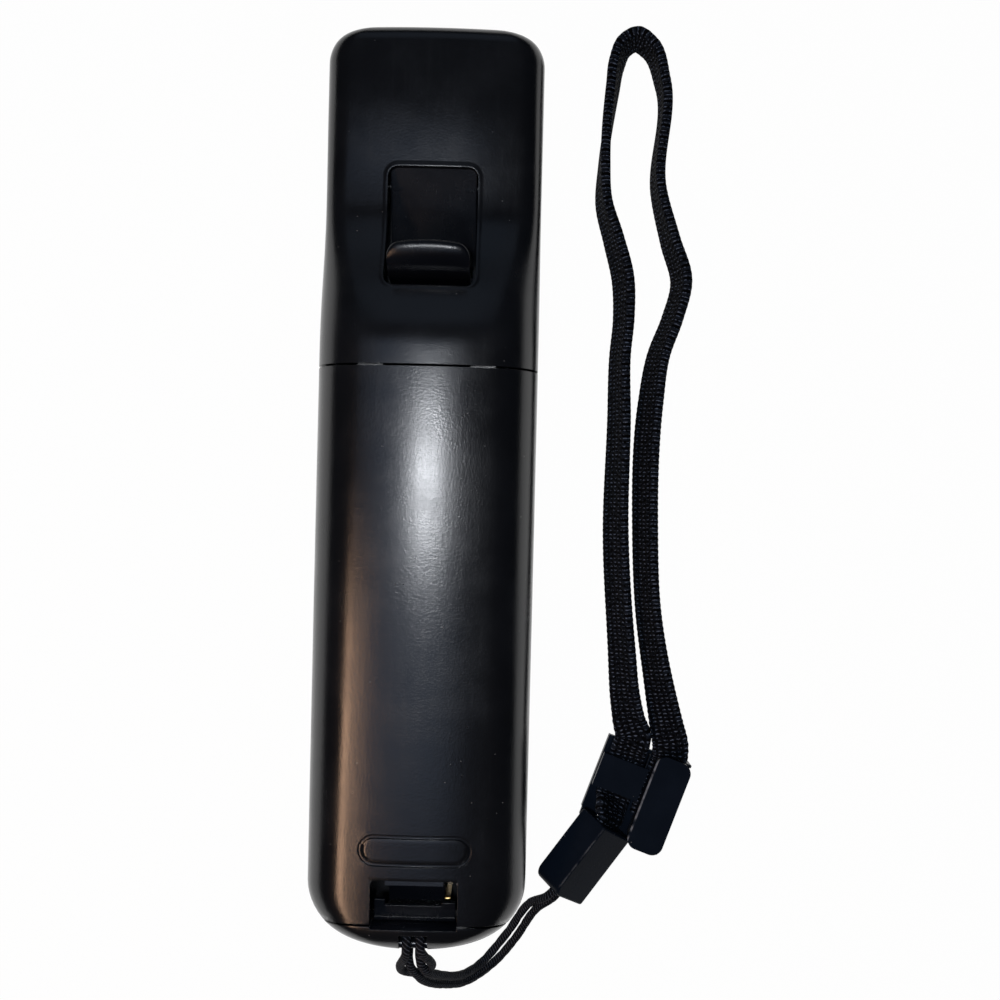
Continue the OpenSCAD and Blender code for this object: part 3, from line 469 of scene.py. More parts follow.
def add_ring(points, faces, loop, ring):
    """Adds a ring of points and the faces that lead to it from a loop, and returns its numbers."""
    new = list(range(len(points), len(points) + len(ring)))
    points.extend(ring)
    join_loops(faces, loop, new)
    return new


def join_loops(faces, a, b):
    faces.extend([a[k], a[(k + 1) % len(a)], b[(k + 1) % len(a)], b[k]] for k in range(len(a)))


def rounded(p, x0, x1, y0, y1, r):
    """The point of a rounded rectangle that faces p."""
    c = np.array([min(x1 - r, max(x0 + r, p[0])), min(y1 - r, max(y0 + r, p[1]))])
    d = np.array(p[:2]) - c
    return c + d / np.linalg.norm(d) * r


def nearest(values, x):
    return int(np.argmin(np.abs(np.array(values) - x)))


# %% [markdown]
# ## The nose of the rear shell
# The nose carries the scoop and the opening that the trigger works in. Its rows crowd together towards the
# rounded end, where the skin turns fastest. The opening's rounded corners come from rings, not from a boolean
# cut, because a cut would leave slivers that spoil the highlight along its edge.

# %% Nose skin
open_half, open_rear_y, open_front_y, open_r = 7.45, 31.9, 52.25, 1.7
frame_half, frame_rear_y, frame_front_y = 9, 29.6, 54
rim_bead = 0.08
rim_steps = ((0.9, 0), (0.55, 0), (0.38, rim_bead), (0, rim_bead))
bulkhead_y = 20.7
side_points, opening_cols = 26, 25
hump_rows, opening_rows, brow_rows = 12, 28, 16

nose_cols = list(np.linspace(-frame_half, frame_half, opening_cols))
nose_ends = nose_y - nose_corner[1] + nose_corner[1] * np.sin(np.radians(np.arange(0, 91, corner_step)))
nose_rows = np.concatenate([np.linspace(seam_y + part_gap / 2, frame_rear_y, hump_rows)[:-1],
    np.linspace(frame_rear_y, frame_front_y, opening_rows)[:-1],
    np.linspace(frame_front_y, nose_ends[0], brow_rows)[:-1], nose_ends])
inner_rows = bulkhead_y + ((nose_rows - nose_rows[0]) * (nose_y - wall - bulkhead_y)
                           / (nose_y - nose_rows[0]))
outer = np.array([skin_row(y, 0, split_z, nose_cols, side_points) for y in nose_rows])
inner = np.array([skin_row(y, wall, split_z, nose_cols, side_points) for y in inner_rows])
cols, last = outer.shape[1], len(nose_rows) - 1
n = len(nose_rows) * cols
i0, i1 = nearest(nose_rows, frame_rear_y), nearest(nose_rows, frame_front_y)
j0, j1 = side_points - 1, side_points + len(nose_cols) - 2
hole = hole_loop(cols, i0, i1, j0, j1)


def in_opening(i, j):
    return i0 <= i < i1 and j0 <= j < j1


def spare_wall(face):
    """Whether a face joins the two skins along an end row or round the hole, where others take its place."""
    places = {k % n for k in face}
    joins = len({k // n for k in face}) == 2
    return joins and ({k // cols for k in places} in ({0}, {last}) or places <= set(hole))


points, faces = thick_sheet(outer, inner, in_opening, in_opening)
faces = [f for f in faces if not spare_wall(f)]
for base, row in ((0, 0), (0, last), (n, 0), (n, last)):
    faces.append([base + row * cols + j for j in range(cols)])
for row in (0, last):
    a, b = row * cols, row * cols + cols - 1
    faces.append([a, b, b + n, a + n])
rims = []
for base, t, steps in ((0, 0, rim_steps), (n, wall, ((0, 0),))):
    loop = [base + k for k in hole]
    rect = [points[k] for k in loop]
    for out, up in steps:
        sides = (-open_half - out, open_half + out, open_rear_y - out, open_front_y + out)
        flat = [rounded(p, *sides, open_r + out) for p in rect]
        loop = add_ring(points, faces, loop, [(x, y, back_height(x, y, t) + up) for x, y in flat])
    rims.append(loop)
join_loops(faces, rims[0], rims[1])
rear_nose = bare_mesh("rear_shell_nose", points, faces)
print("nose skin of", len(nose_rows), "rows and", cols, "columns")

# %% [markdown]
# ## Cutting and joining solids
# Slots in a flat wall, ribs and blocks are boxes and rods that run into each other. Blender's boolean
# modifier joins and cuts them cleanly, since few of their faces are curved.

# %% Boolean helpers


def box_mesh(x0, x1, y0, y1, z0, z1):
    points = [(x, y, z) for z in (z0, z1) for x, y in ((x0, y0), (x1, y0), (x1, y1), (x0, y1))]
    return points, [(3, 2, 1, 0), (4, 5, 6, 7), (0, 1, 5, 4), (1, 2, 6, 5), (2, 3, 7, 6), (3, 0, 4, 7)]


def centred(x, half, y0, y1, z0, z1):
    """A box that reaches half to either side of x."""
    return box_mesh(x - half, x + half, y0, y1, z0, z1)


def one_side(side, near, far, *rest):
    """A box on one side of the middle, side being -1 or 1, from near to far."""
    return box_mesh(*sorted((side * near, side * far)), *rest)


def prism(outline, z0, z1):
    """An outline in the plan pulled up from z0 to z1."""
    n = len(outline)
    points = [(x, y, z) for z in (z0, z1) for x, y in outline]
    sides = [(k, (k + 1) % n, n + (k + 1) % n, n + k) for k in range(n)]
    return points, [list(range(n))[::-1], list(range(n, 2 * n)), *sides]


def rod(axis, centre, r, a0, a1, sides=40):
    """A round rod along one axis, 0 for x, 1 for y and 2 for z."""
    rings = []
    for a in (a0, a1):
        for k in range(sides):
            u = 2 * math.pi * k / sides
            p = list(centre)
            p[(axis + 1) % 3] += r * math.cos(u)
            p[(axis + 2) % 3] += r * math.sin(u)
            p[axis] = a
            rings.append(p)
    return swept(np.array(rings).reshape(2, sides, 3))


def combine(obj, operation, solids):
    """Applies a boolean of each solid in turn to an object."""
    for solid in solids:
        tool = bare_mesh("tool", *solid)
        tidy_faces(tool)
        cut = obj.modifiers.new("cut", "BOOLEAN")
        cut.operation = operation
        cut.solver = "EXACT"
        cut.object = tool
        done = bpy.data.meshes.new_from_object(obj.evaluated_get(bpy.context.evaluated_depsgraph_get()))
        obj.modifiers.clear()
        old, obj.data = obj.data, done
        bpy.data.meshes.remove(old)
        bpy.data.objects.remove(tool)


def built(name, solids, cuts=(), place=None):
    """One object from solids joined together, cut and then put in its place."""
    obj = bare_mesh(name, *solids[0])
    tidy_faces(obj)
    combine(obj, "UNION", solids[1:])
    combine(obj, "DIFFERENCE", cuts)
    if place:
        obj.data.transform(place)
    return obj


def loose(name, solids):
    """One object from solids that only overlap, for shapes whose joints lie out of sight."""
    points, faces = [], []
    for p, f in solids:
        faces += [[k + len(points) for k in face] for face in f]
        points += list(p)
    return bare_mesh(name, points, faces)


# %% Slots for the cover's hinge tabs, then seat the nose
tab_x, tab_half, slot_gap = 9, 2, 0.3
slot_y, slot_z = (seam_y - 1, seam_y + 3), (hump_z - 6.4, hump_z - 3.2)
tidy_faces(rear_nose)
combine(rear_nose, "DIFFERENCE", [centred(x, tab_half + slot_gap, *slot_y, *slot_z) for x in (-tab_x, tab_x)])
seat(rear_nose, "housing", "rear_plastic", "rear_shell")
soften(rear_nose, 0.3, angle=55)

# %% [markdown]
# ## The tail of the rear shell
# Behind the cover a short block of the same skin closes the wand. The strap ties on in its notch, and the
# cover's latch springs into the recess in front. The seam leans, so the rows of the block follow it.

# %% Tail block
bar_z, notch_half, notch_back_y = 21.6, 2.3, -72.2
latch_half, hollow_half = 7, 8.2
hollow_top, notch_floor, recess_floor = bar_z - 4.6, bar_z - 3.2, split_z + 2.2
end_wall = wall + 2.2
clear_z = tail_z + 5
tail_points = 34
seam_shares = (0, 0.15, 0.35, 0.55, 0.78)

tail_first = tail_y + tail_corner[1]
tail_ends = tail_first - tail_corner[1] * np.sin(np.radians(np.arange(51, 91, 3)))
tail_rows = [tilted_row(-part_gap / 2, 0, split_z, [0], tail_points, share, tail_ends[0])
             for share in seam_shares]
tail_rows += [skin_row(y, 0, split_z, [0], tail_points) for y in tail_ends]
tail_grid = np.array(tail_rows)
rows, cols = tail_grid.shape[:2]
faces, _ = grid_faces((rows, cols))
faces += [list(range(cols)), list(range((rows - 1) * cols, rows * cols)),
          [i * cols for i in range(rows)] + [i * cols + cols - 1 for i in reversed(range(rows))]]
rear_tail = bare_mesh("rear_shell_tail", tail_grid.reshape(-1, 3), faces)
tidy_faces(rear_tail)
combine(rear_tail, "DIFFERENCE", [
    centred(0, hollow_half, tail_y + end_wall, tail_seam_y + 9, split_z - 1, hollow_top),
    centred(0, notch_half, tail_y - 1, notch_back_y, notch_floor, clear_z),
    centred(0, latch_half, tail_seam_y - 0.6, tail_seam_y + 3, recess_floor, clear_z)])
seat(rear_tail, "housing", "rear_plastic")
soften(rear_tail, 0.25, angle=55)

# %% [markdown]
# ## The battery cover
# The cover is the largest face in the picture. Its outline of a stadium is a pressed groove left bare, made
# with rings so that the groove keeps its width all round. The notch for the latch lies on grid lines.

# %% Cover skin
edge_y = tail_seam_y + 7.4
badge_y, badge_half, badge_r = tail_seam_y + 12.2, 9.15, 2.6
badge_core = badge_half - badge_r
badge_rear_y, badge_front_y = badge_y - 3.7, badge_y + 3.7
groove, groove_deep, groove_side = 0.7, 0.32, 0.14
groove_steps = ((0, 0), (groove_side, groove_deep), (groove - groove_side, groove_deep), (groove, 0),
                (1.3, 0), (1.95, 0), (2.45, 0))
hair = 1e-4
notch_steps = 8
edge_rows, badge_rows, back_rows = 3, 10, 50

cover_low = split_z + part_gap
notch_cols = list(np.linspace(-latch_half, latch_half, 19))
outer_cols = [7.85, 8.7, 9.6, 10.5]
cover_cols = [-x for x in outer_cols[::-1]] + notch_cols + outer_cols
cover_ys = np.concatenate([np.linspace(edge_y, badge_rear_y, edge_rows)[:-1],
    np.linspace(badge_rear_y, badge_front_y, badge_rows)[:-1],
    np.linspace(badge_front_y, seam_y - part_gap / 2, back_rows)])


def cover_grid(t):
    lean = [tilted_row(part_gap / 2, t, cover_low, cover_cols, side_points, k / notch_steps, edge_y)
            for k in range(notch_steps)]
    return np.array(lean + [skin_row(y, t, cover_low, cover_cols, side_points) for y in cover_ys])


outer, inner = cover_grid(0), cover_grid(cover_wall)
rows, cols = outer.shape[:2]
jb0 = side_points - 1
jb1 = jb0 + len(cover_cols) - 1
jn0, jn1 = jb0 + len(outer_cols), jb1 - len(outer_cols)
ib0 = notch_steps + nearest(cover_ys, badge_rear_y)
ib1 = notch_steps + nearest(cover_ys, badge_front_y)


def in_notch(i, j):
    return i < notch_steps and jn0 <= j < jn1


def in_badge(i, j):
    return ib0 <= i < ib1 and jb0 <= j < jb1


points, faces = thick_sheet(outer, inner, lambda i, j: in_notch(i, j) or in_badge(i, j), in_notch)
loop = hole_loop(cols, ib0, ib1, jb0, jb1)
rect = [points[k] for k in loop]
for inset, deep in groove_steps:
    r = badge_r - inset
    flat = [rounded(p, -badge_core - r, badge_core + r, badge_y - r, badge_y + r, r - hair) for p in rect]
    loop = add_ring(points, faces, loop, [(x, y, back_height(x, y, 0, cover_low) - deep) for x, y in flat])
wide, tall = jb1 - jb0, ib1 - ib0
low, high = loop[:wide + 1], loop[wide + tall:2 * wide + tall + 1][::-1]
for k in range(wide):
    faces.append([low[k], low[k + 1], high[k + 1], high[k]])
faces.append(loop[wide:wide + tall + 1])
faces.append(loop[2 * wide + tall:] + [loop[0]])
battery_cover = bare_mesh("battery_cover_skin", points, faces)
tidy_faces(battery_cover)

# %% Inner leg and hinge tabs of the cover
leg_half, leg_z = 4.7, split_z + 2.4
under = crown(edge_y, cover_wall)
tab_rear_y, tab_z = seam_y - 3, hump_z - 5
ribs = [centred(0, leg_half, edge_y - 1, edge_y, leg_z, under + 0.4),
        centred(0, leg_half, edge_y - 0.2, edge_y + 0.8, under - 3, under + 0.3)]
for x in (-tab_x, tab_x):
    ribs += [centred(x, tab_half, tab_rear_y, seam_y - 1.4, tab_z, hump_z - cover_wall - 0.7),
             centred(x, tab_half, tab_rear_y, seam_y + 1.3, tab_z, hump_z - 3.6)]
combine(battery_cover, "UNION", ribs)
seat(battery_cover, "battery_cover", "cover_plastic", "battery_cover")
soften(battery_cover, 0.18, angle=62)

# %% [markdown]
# ## Battery bay
# Under the cover lie a floor, low walls round the cells and rails beside the latch. They only show when the
# cover swings up, but then they fill the view, so they are joined into one moulding with softened edges.

# %% Bay moulding
floor_z, bay_z, bay_top = 8.05, 9.05, 15.95
bay_out, bay_wall = 15.85, 1.1
bay_tail_y, bay_nose_y = -61.9, -6.5
rail_y, rail_in, foot_y, rail_z = -69.5, 8.8, -72.2, split_z + 2
rail_out, foot_out = (body_half(y, wall) - 0.4 for y in (rail_y, foot_y))
pin_y, pin_z, ear_t = 50.1, 14.0, 1.5
# The baffle and ledges are dark plates that stand in as painted shade, hiding the board through the gaps
# round the trigger.
baffle_y, baffle_z = 35.6, (9, 11)
ledge_in, ledge_z = 6.6, (9, 9.4)
ledges = ((9.2, 35, 48.5), (8.2, 48, 53.5))
screw_r = 0.9
screw_places = ((12.4, seam_y - 4.6), ((rail_in + rail_out) / 2, tail_seam_y + 4.4))
sync_y, sync_hole = 6.4, 1.9

bay = [centred(0, bay_out, bay_tail_y, bulkhead_y, floor_z, bay_z)]
for s in (-1, 1):
    bay.append(one_side(s, bay_out - bay_wall, bay_out, bay_tail_y, bulkhead_y, floor_z, bay_top))
for y in (bay_tail_y, bay_nose_y):
    bay.append(centred(0, bay_out, y, y + bay_wall, floor_z, bay_top))
bay.append(centred(0, bay_out, seam_y + part_gap / 2, bulkhead_y, floor_z, rail_z))
for s in (-1, 1):
    bay.append(one_side(s, rail_in, rail_out, rail_y, bay_tail_y + bay_wall, floor_z, bay_z))
for s in (-1, 1):
    bay.append(one_side(s, rail_in, foot_out, foot_y, rail_y + 1, floor_z, rail_z))
    bay.append(one_side(s, rail_in, foot_out, foot_y - 1, rail_y, split_z + part_gap, rail_z))
for s in (-1, 1):
    x = s * (open_half + ear_t / 2 + 0.2)
    bay.append(centred(x, ear_t / 2, pin_y - 2.4, pin_y + 2.4, pin_z - 1.7, crown(pin_y, wall) + 0.4))
# Dark plates that hide the board seen past the trigger, standing in as painted shade for the dark inside.
bay.append(centred(0, bay_out, bulkhead_y - 0.5, baffle_y, *baffle_z))
for s in (-1, 1):
    bay += [one_side(s, ledge_in, far, y0, y1, *ledge_z) for far, y0, y1 in ledges]
# A dark plate that hides the pale socket seen through the latch notch, standing in as painted shade for the
# dark inside.
bay.append(centred(0, rail_in + 0.1, foot_y - 1, bay_tail_y + 0.5, floor_z + 0.5, bay_z))
holes = [rod(2, (s * x, y, 0), screw_r, floor_z - 1, bay_z + 1, 24) for s in (-1, 1) for x, y in screw_places]
holes.append(rod(2, (0, sync_y, 0), sync_hole, floor_z - 1, bay_z + 1))
rear_bay = built("rear_shell_bay", bay, holes)
seat(rear_bay, "housing", "rear_plastic")
soften(rear_bay, 0.15)

# %% [markdown]
# ## The front shell
# The front is a shallow tray with a softly rounded rim. Its flat face is filled between outlines, one for the
# tray and one for each hole, and every hole gets its own rounded lip, which a plain boolean would not give.

# %% Front tray
front_z, inner_z = 1.4, 3.2
front_edge_r, rim_chamfer, rim_drop = 1.6, 0.25, 0.3
hole_lip, hole_gap = 0.25, 0.3
pad_y, pad_span, pad_arm, pad_tip_r = 49, 17, 6, 0.7
main_y, small_y, speaker_y, one_y, two_y, light_y = 22, -2, -15, -31, -43, -59
main_d, digit_d, small_d, power_d, small_x = 12, 8, 5.2, 6.4, 9.4
power_at = (9.5, nose_y - 11.5)
light_x, light_half = (-9, -3, 3, 9), 1.05
speaker_pitch, speaker_hole = 2.6, 0.6


def plan(t):
    """Outline of the body in the plan, drawn in by t."""
    out = []
    for (cx, cy), sx, sy, a0 in ((tail_corner, 1, -1, -90), (nose_corner, 1, 1, 0), (nose_corner, -1, 1, 90),
                                 (tail_corner, -1, -1, 180)):
        x, y = sx * (half_w - cx), sy * (nose_y - cy)
        out += [(x + (cx - t) * math.cos(a), y + (cy - t) * math.sin(a))
                for a in np.radians(np.arange(a0, a0 + 91, corner_step))]
    return out


def circle(x, y, r, n=40):
    return [(x + r * math.cos(2 * math.pi * k / n), y + r * math.sin(2 * math.pi * k / n)) for k in range(n)]


def cross(x, y, span, arm, grow):
    """A cross pad's outline with rounded tips, grown outwards."""
    s, a, r = span / 2 + grow, arm / 2 + grow, pad_tip_r
    quarter = [math.pi / 2 * k / 4 for k in range(5)]
    tip = [(s - r + r * math.cos(u), a - r + r * math.sin(u)) for u in quarter]
    arm_end = [(px, -py) for px, py in tip[::-1]] + tip + [(a, a)]
    out = []
    for c, sn in ((1, 0), (0, 1), (-1, 0), (0, -1)):
        out += [(x + c * px - sn * py, y + sn * px + c * py) for px, py in arm_end]
    return out


def square(x, y, h):
    return [(x - h, y - h), (x + h, y - h), (x + h, y + h), (x - h, y + h)]


def hole_shapes(grow):
    """Outlines of every hole in the front, grown by its lip."""
    wider = hole_gap + grow
    shapes = [circle(0, main_y, main_d / 2 + wider), circle(*power_at, power_d / 2 + wider)]
    shapes += [circle(0, y, digit_d / 2 + wider) for y in (one_y, two_y)]
    shapes += [circle(x, small_y, small_d / 2 + wider) for x in (-small_x, 0, small_x)]
    shapes.append(cross(0, pad_y, pad_span, pad_arm, wider))
    shapes += [square(x, light_y, light_half + grow) for x in light_x]
    shapes += [circle(i * speaker_pitch, speaker_y + j * speaker_pitch, speaker_hole + grow, 20)
               for i in range(-2, 3) for j in range(-2, 3) if abs(i) + abs(j) < 4]
    return shapes


def fill_plate(points, faces, loops):
    """Fills the flat area between an outer loop and its holes."""
    bm = bmesh.new()
    made = {}
    for loop in loops:
        for k in loop:
            made[k] = bm.verts.new(points[k])
    edges = [bm.edges.new((made[a], made[b])) for loop in loops for a, b in zip(loop, loop[1:] + loop[:1])]
    bmesh.ops.triangle_fill(bm, use_beauty=True, use_dissolve=False, edges=edges)
    number = {v: k for k, v in made.items()}
    faces.extend([number[v] for v in f.verts] for f in bm.faces)
    bm.free()


def ring_numbers(points, ring):
    first = len(points)
    points.extend(ring)
    return list(range(first, len(points)))


points, faces = [], []
roll = np.radians(np.linspace(0, 90, 7))
rim = [ring_numbers(points, [(x, y, front_z + front_edge_r * (1 - math.cos(a)))
                             for x, y in plan(front_edge_r * (1 - math.sin(a)))]) for a in roll]
rim += [ring_numbers(points, [(x, y, z) for x, y in plan(t)]) for t, z in (
    (0, split_z - rim_drop), (rim_chamfer, split_z), (wall, split_z), (wall, inner_z))]
for a, b in zip(rim, rim[1:]):
    join_loops(faces, a, b)
mouths, throats = [], []
for wide, narrow in zip(hole_shapes(hole_lip), hole_shapes(0)):
    lip = ring_numbers(points, [(x, y, front_z) for x, y in wide])
    mouths.append(lip)
    for u in (0.3, 0.7, 1):
        a = math.pi / 2 * u
        blend = [(xw + (xn - xw) * math.sin(a), yw + (yn - yw) * math.sin(a))
                 for (xw, yw), (xn, yn) in zip(wide, narrow)]
        lip = add_ring(points, faces, lip, [(x, y, front_z + hole_lip * (1 - math.cos(a))) for x, y in blend])
    throats.append(add_ring(points, faces, lip, [(x, y, inner_z) for x, y in narrow]))
fill_plate(points, faces, [rim[0]] + mouths)
fill_plate(points, faces, [rim[-1]] + throats)
front_shell = bare_mesh("front_shell_tray", points, faces)
tidy_faces(front_shell)

# %% Window and socket openings of the tray, with flared edges
window_half, socket_half = 11.05, 8.25
window_z, socket_z = (4.15, 11.25), (3.2, 8.5)
flare = 0.4


def flared(half, z0, z1, y_in, y_out, way):
    """A box that widens towards the outside."""
    mid = y_out - way * (flare + 1)
    rings = []
    for y, g in ((y_in, 0), (mid, 0), (mid + way * flare, flare), (y_out, flare)):
        x, low, high = half + g, z0 - g, z1 + g
        rings.append([(-x, y, low), (x, y, low), (x, y, high), (-x, y, high)])
    return swept(np.array(rings))


combine(front_shell, "DIFFERENCE", [
    flared(window_half, *window_z, nose_y - wall - 1, nose_y + 1, 1),
    flared(socket_half, *socket_z, tail_y + 5, tail_y - 1, -1)])
seat(front_shell, "housing", "front_plastic", "front_shell")
front_shell.modifiers.new("flat_faces", "WEIGHTED_NORMAL")

# %% [markdown]
# ## The trigger
# The finger rests in a curved trough and pulls a rounded lip. The lip's front ridge bows back towards its
# ends, which a straight extrusion misses, so the lip is swept across with each profile drawn back a little
# more. Its face is left bare.

# %% Trigger trough and lip
trigger_half, lip_half, lip_corner = 7.1, 6.55, 1.7
trigger_top_y, trough_low, trough_knee, trigger_t = 52.9, 11.62, 37.6, 0.8
trough_slope = 0.46
lip_rear_y, lip_front_y, lip_low = 33.3, 38.6, 15
lip_bow, lip_sink, lip_turn_sink = 0.7, 0.45, 0.35
lip_base_z, lip_rise = 24, 5
side_round = 0.35
boss_r, boss_half, boss_in = 2, 0.8, 1.2
switch_y, switch_z, switch_r = 39.5, 11.05, 1.2


def eased(points, times=3):
    """Cuts corners off a line of a few points until it is smooth."""
    for _ in range(times):
        cut = [points[0]]
        for a, b in zip(np.array(points), np.array(points[1:])):
            cut += [0.75 * a + 0.25 * b, 0.25 * a + 0.75 * b]
        points = cut + [points[-1]]
    return points


def trough_height(y):
    """Height of the finger trough: a slope that levels out under the lip."""
    d = (y - trough_knee) * trough_slope
    return trough_low + (d + math.hypot(d, 0.5)) / 2


trough_ys = np.linspace(trigger_top_y, lip_front_y - 1.2, 30)
trough = [(y, trough_height(y)) for y in trough_ys]
trough += [(y, trough_height(y) - trigger_t) for y in trough_ys[::-1]]
trough_x = [-trigger_half, -trigger_half + side_round, trigger_half - side_round, trigger_half]
solids = [swept(np.array([[(x, y, z) for y, z in trough] for x in trough_x]))]

crest = eased([(38.6, 26), (38.62, 28.6), (38.3, 29.95), (37.2, 30), (35.6, 29.3), (34.2, 27.7), (33.3, 24.8),
               (32.9, 20), (32.7, lip_low)])
hook = [(lip_front_y, trough_low - 0.2)] + list(crest) + [(34.8, lip_low), (35.1, 23.8),
        (36.9, 21.8), (37, 14.8), (37.4, trough_low - 0.6)]
lip_rings = []
for s in np.linspace(-90, 90, 49):
    x = lip_half * math.sin(math.radians(s))
    u = abs(x) / lip_half
    over = max(0, abs(x) - lip_half + lip_corner)
    turn = end_drop(over, lip_corner + 1e-6)
    ring = []
    for y, z in hook:
        front = (y - lip_rear_y) / (lip_front_y - lip_rear_y)
        raised = min(1, max(0, (z - lip_base_z) / lip_rise))
        back = front * (lip_bow * u * u + turn * raised)
        ring.append((x, y - back, z - raised * (lip_sink * u ** 4 + lip_turn_sink * turn)))
    lip_rings.append(ring)
solids.append(swept(np.array(lip_rings)))
for s in (-1, 1):
    x = s * (trigger_half - boss_in)
    solids.append(rod(0, (0, pin_y, pin_z), boss_r, x - boss_half, x + boss_half))
    solids.append(centred(x, boss_half, pin_y - 1.2, pin_y + 1.2, pin_z, trough_height(pin_y) - 0.3))
solids.append(rod(2, (0, switch_y, 0), switch_r, switch_z + 0.1, trough_height(switch_y) - 0.4, 24))
trigger = loose("trigger_lever", solids)
seat(trigger, "trigger", "trigger_plastic", "trigger")
soften(trigger, 0.25, angle=50)
print("trough falls from", round(trough_height(trigger_top_y), 1), "to", round(trough_height(lip_front_y), 1))

# %% [markdown]
# ## The latch
# The cover's latch is a small spring tongue that a fingernail pushes back. It has a ridge across its top for
# grip and shoulders at both ends. Its boxes only overlap, and their tops lean: two flat faces that meet
# squarely throw a lamp straight back to the camera.

# %% Latch tongue
face_y, bend_y = tail_seam_y - 0.3, tail_seam_y + 6.3
tongue_z, tongue_half = tail_z - 3.8, latch_half - part_gap
plate_z, ridge_z = tongue_z - 0.6, tongue_z - 0.3
shoulder_z = (tongue_z - 1.35, ridge_z)
leg_rise, plate_rise, ridge_rise = 1.9, 0.35, 0.2


def sloped(x0, x1, y0, y1, z0, z1, rise):
    """A box whose top climbs by rise towards the nose."""
    points, box_faces = box_mesh(x0, x1, y0, y1, z0, z1)
    return [(x, y, z + rise if z == z1 and y == y1 else z) for x, y, z in points], box_faces


latch = [
    sloped(-leg_half, leg_half, face_y + 0.2, bend_y - 0.15, leg_z, leg_z + 0.6, leg_rise),
    centred(0, leg_half - 0.05, face_y + 0.25, face_y + 1.6, leg_z + 0.1, plate_z),
    sloped(-tongue_half, tongue_half, face_y, face_y + 2.5, tongue_z - 1.4, plate_z, plate_rise),
    sloped(0.02 - tongue_half, tongue_half - 0.02, face_y + 0.02, face_y + 0.7, tongue_z - 1, ridge_z,
           ridge_rise),
    sloped(0.03 - tongue_half, 1.8 - tongue_half, face_y + 2, face_y + 3.5, *shoulder_z, ridge_rise),
    sloped(tongue_half - 2.3, tongue_half - 0.03, face_y + 2, face_y + 3.1, *shoulder_z, ridge_rise)]
cover_latch = loose("cover_latch_tongue", latch)
seat(cover_latch, "cover_latch", "trigger_plastic", "cover_latch")
soften(cover_latch, 0.14)
latch_wall = bare_mesh("rear_shell_latch_wall", *centred(
    0, latch_half - 0.05, face_y - 0.45, face_y - 0.25, leg_z + 0.4, tail_z - 0.25))
seat(latch_wall, "housing", "trigger_plastic")

# %% Round corners of the notch and a contact seen through it
notch_r = 1.1
notch_top = back_height(latch_half, edge_y - notch_r, 0, cover_low) - 0.02
glint_x, glint_y, glint_z = 5.2, -68.7, 16.6
leaf_r, leaf_half = 0.5, 0.45

corners = []
for side in (-1, 1):
    bend = [(side * (latch_half - notch_r + notch_r * math.sin(a)), edge_y - notch_r + notch_r * math.cos(a))
            for a in np.radians(range(0, 91, 15))]
    corners.append(prism(bend + [(side * latch_half, edge_y)], under, notch_top))
seat(loose("battery_cover_notch_corners", corners), "battery_cover", "cover_plastic")
leaf = loose("tail_contact_leaf", [
    rod(0, (0, glint_y, glint_z), leaf_r, glint_x - leaf_r, glint_x + leaf_r, 24),
    centred(glint_x, leaf_half, glint_y - 0.2, glint_y + 0.1, floor_z + 0.6, glint_z)])
seat(leaf, "housing", "contact")
soften(leaf, 0.06)

# %% [markdown]
# ## Buttons
# The round caps are turned profiles: a lathe in code gives each a soft rim and a faint dish for the finger.
# The cross pad is a rounded cross with a dimple in its middle. Their faces stay bare.

# %% Turned caps
flange_z, flange_t, flange_over = 3.3, 0.8, 0.9
cap_rim_r, cap_dish, cap_flat = 0.45, 0.12, 0.9
cap_sides, hub_r = 56, 0.01
small_top = front_z - 0.7


def cap(name, x, y, d, top, slot="button_plastic"):
    """A dished round cap with a flange under the shell, facing down."""
    r = d / 2
    profile = [(hub_r, top + cap_dish)]
    profile += [(f * (r - cap_flat), top + cap_dish * (1 - f ** 4)) for f in (0.25, 0.5, 0.75, 0.9, 1)]
    profile += [(r - cap_rim_r + cap_rim_r * math.sin(a), top + cap_rim_r * (1 - math.cos(a)))
                for a in np.radians(range(0, 91, 15))]
    profile += [(r, flange_z), (r + flange_over, flange_z), (r + flange_over, flange_z + flange_t),
                (hub_r, flange_z + flange_t)]
    spin = np.linspace(0, 2 * math.pi, cap_sides, endpoint=False)
    rings = np.array([[(x + pr * math.cos(u), y + pr * math.sin(u), z) for u in spin] for pr, z in profile])
    obj = bare_mesh(name + "_cap", *swept(rings))
    seat(obj, name + "_button", slot, name + "_button")
    obj.modifiers.new("flat_faces", "WEIGHTED_NORMAL")
    obj.data.set_sharp_from_angle(angle=math.radians(60))


cap("power", *power_at, power_d, front_z - 0.4, "power_plastic")
cap("main", 0, main_y, main_d, 0)
for name, x in (("minus", small_x), ("home", 0), ("plus", -small_x)):
    cap(name, x, small_y, small_d, small_top)
for name, y in (("one", one_y), ("two", two_y)):
    cap(name, 0, y, digit_d, 0)

# %% Cross pad
pad_flange_z, pad_flange_t, pad_flange_r = 3.7, 0.6, 9.2
pivot_z, pivot_r = 4.05, 1.06
dimple_r, dimple_z = 3, -2.45

pad = built("dpad_cross", [
    prism(cross(0, pad_y, pad_span, pad_arm, 0), 0, pad_flange_z + 0.3),
    rod(2, (0, pad_y, 0), pad_flange_r, pad_flange_z, pad_flange_z + pad_flange_t, 64)])
bm = bmesh.new()
bmesh.ops.create_uvsphere(bm, u_segments=32, v_segments=24, radius=dimple_r)
bmesh.ops.translate(bm, vec=(0, pad_y, dimple_z), verts=bm.verts)
dimple = ([tuple(v.co) for v in bm.verts], [[v.index for v in f.verts] for f in bm.faces])
bm.free()
combine(pad, "DIFFERENCE", [dimple, rod(2, (0, pad_y, 0), pivot_r, pivot_z - 0.9, pivot_z + 3)])
seat(pad, "dpad", "button_plastic", "dpad")
soften(pad, 0.4, angle=60)

# %% [markdown]
# ## The strap's block and lock
# A block hides the stitched end of the webbing, and a lock with a flip lever sets the size of the loop. The
# block rests on a corner, rolled over, so it is built square and then turned.

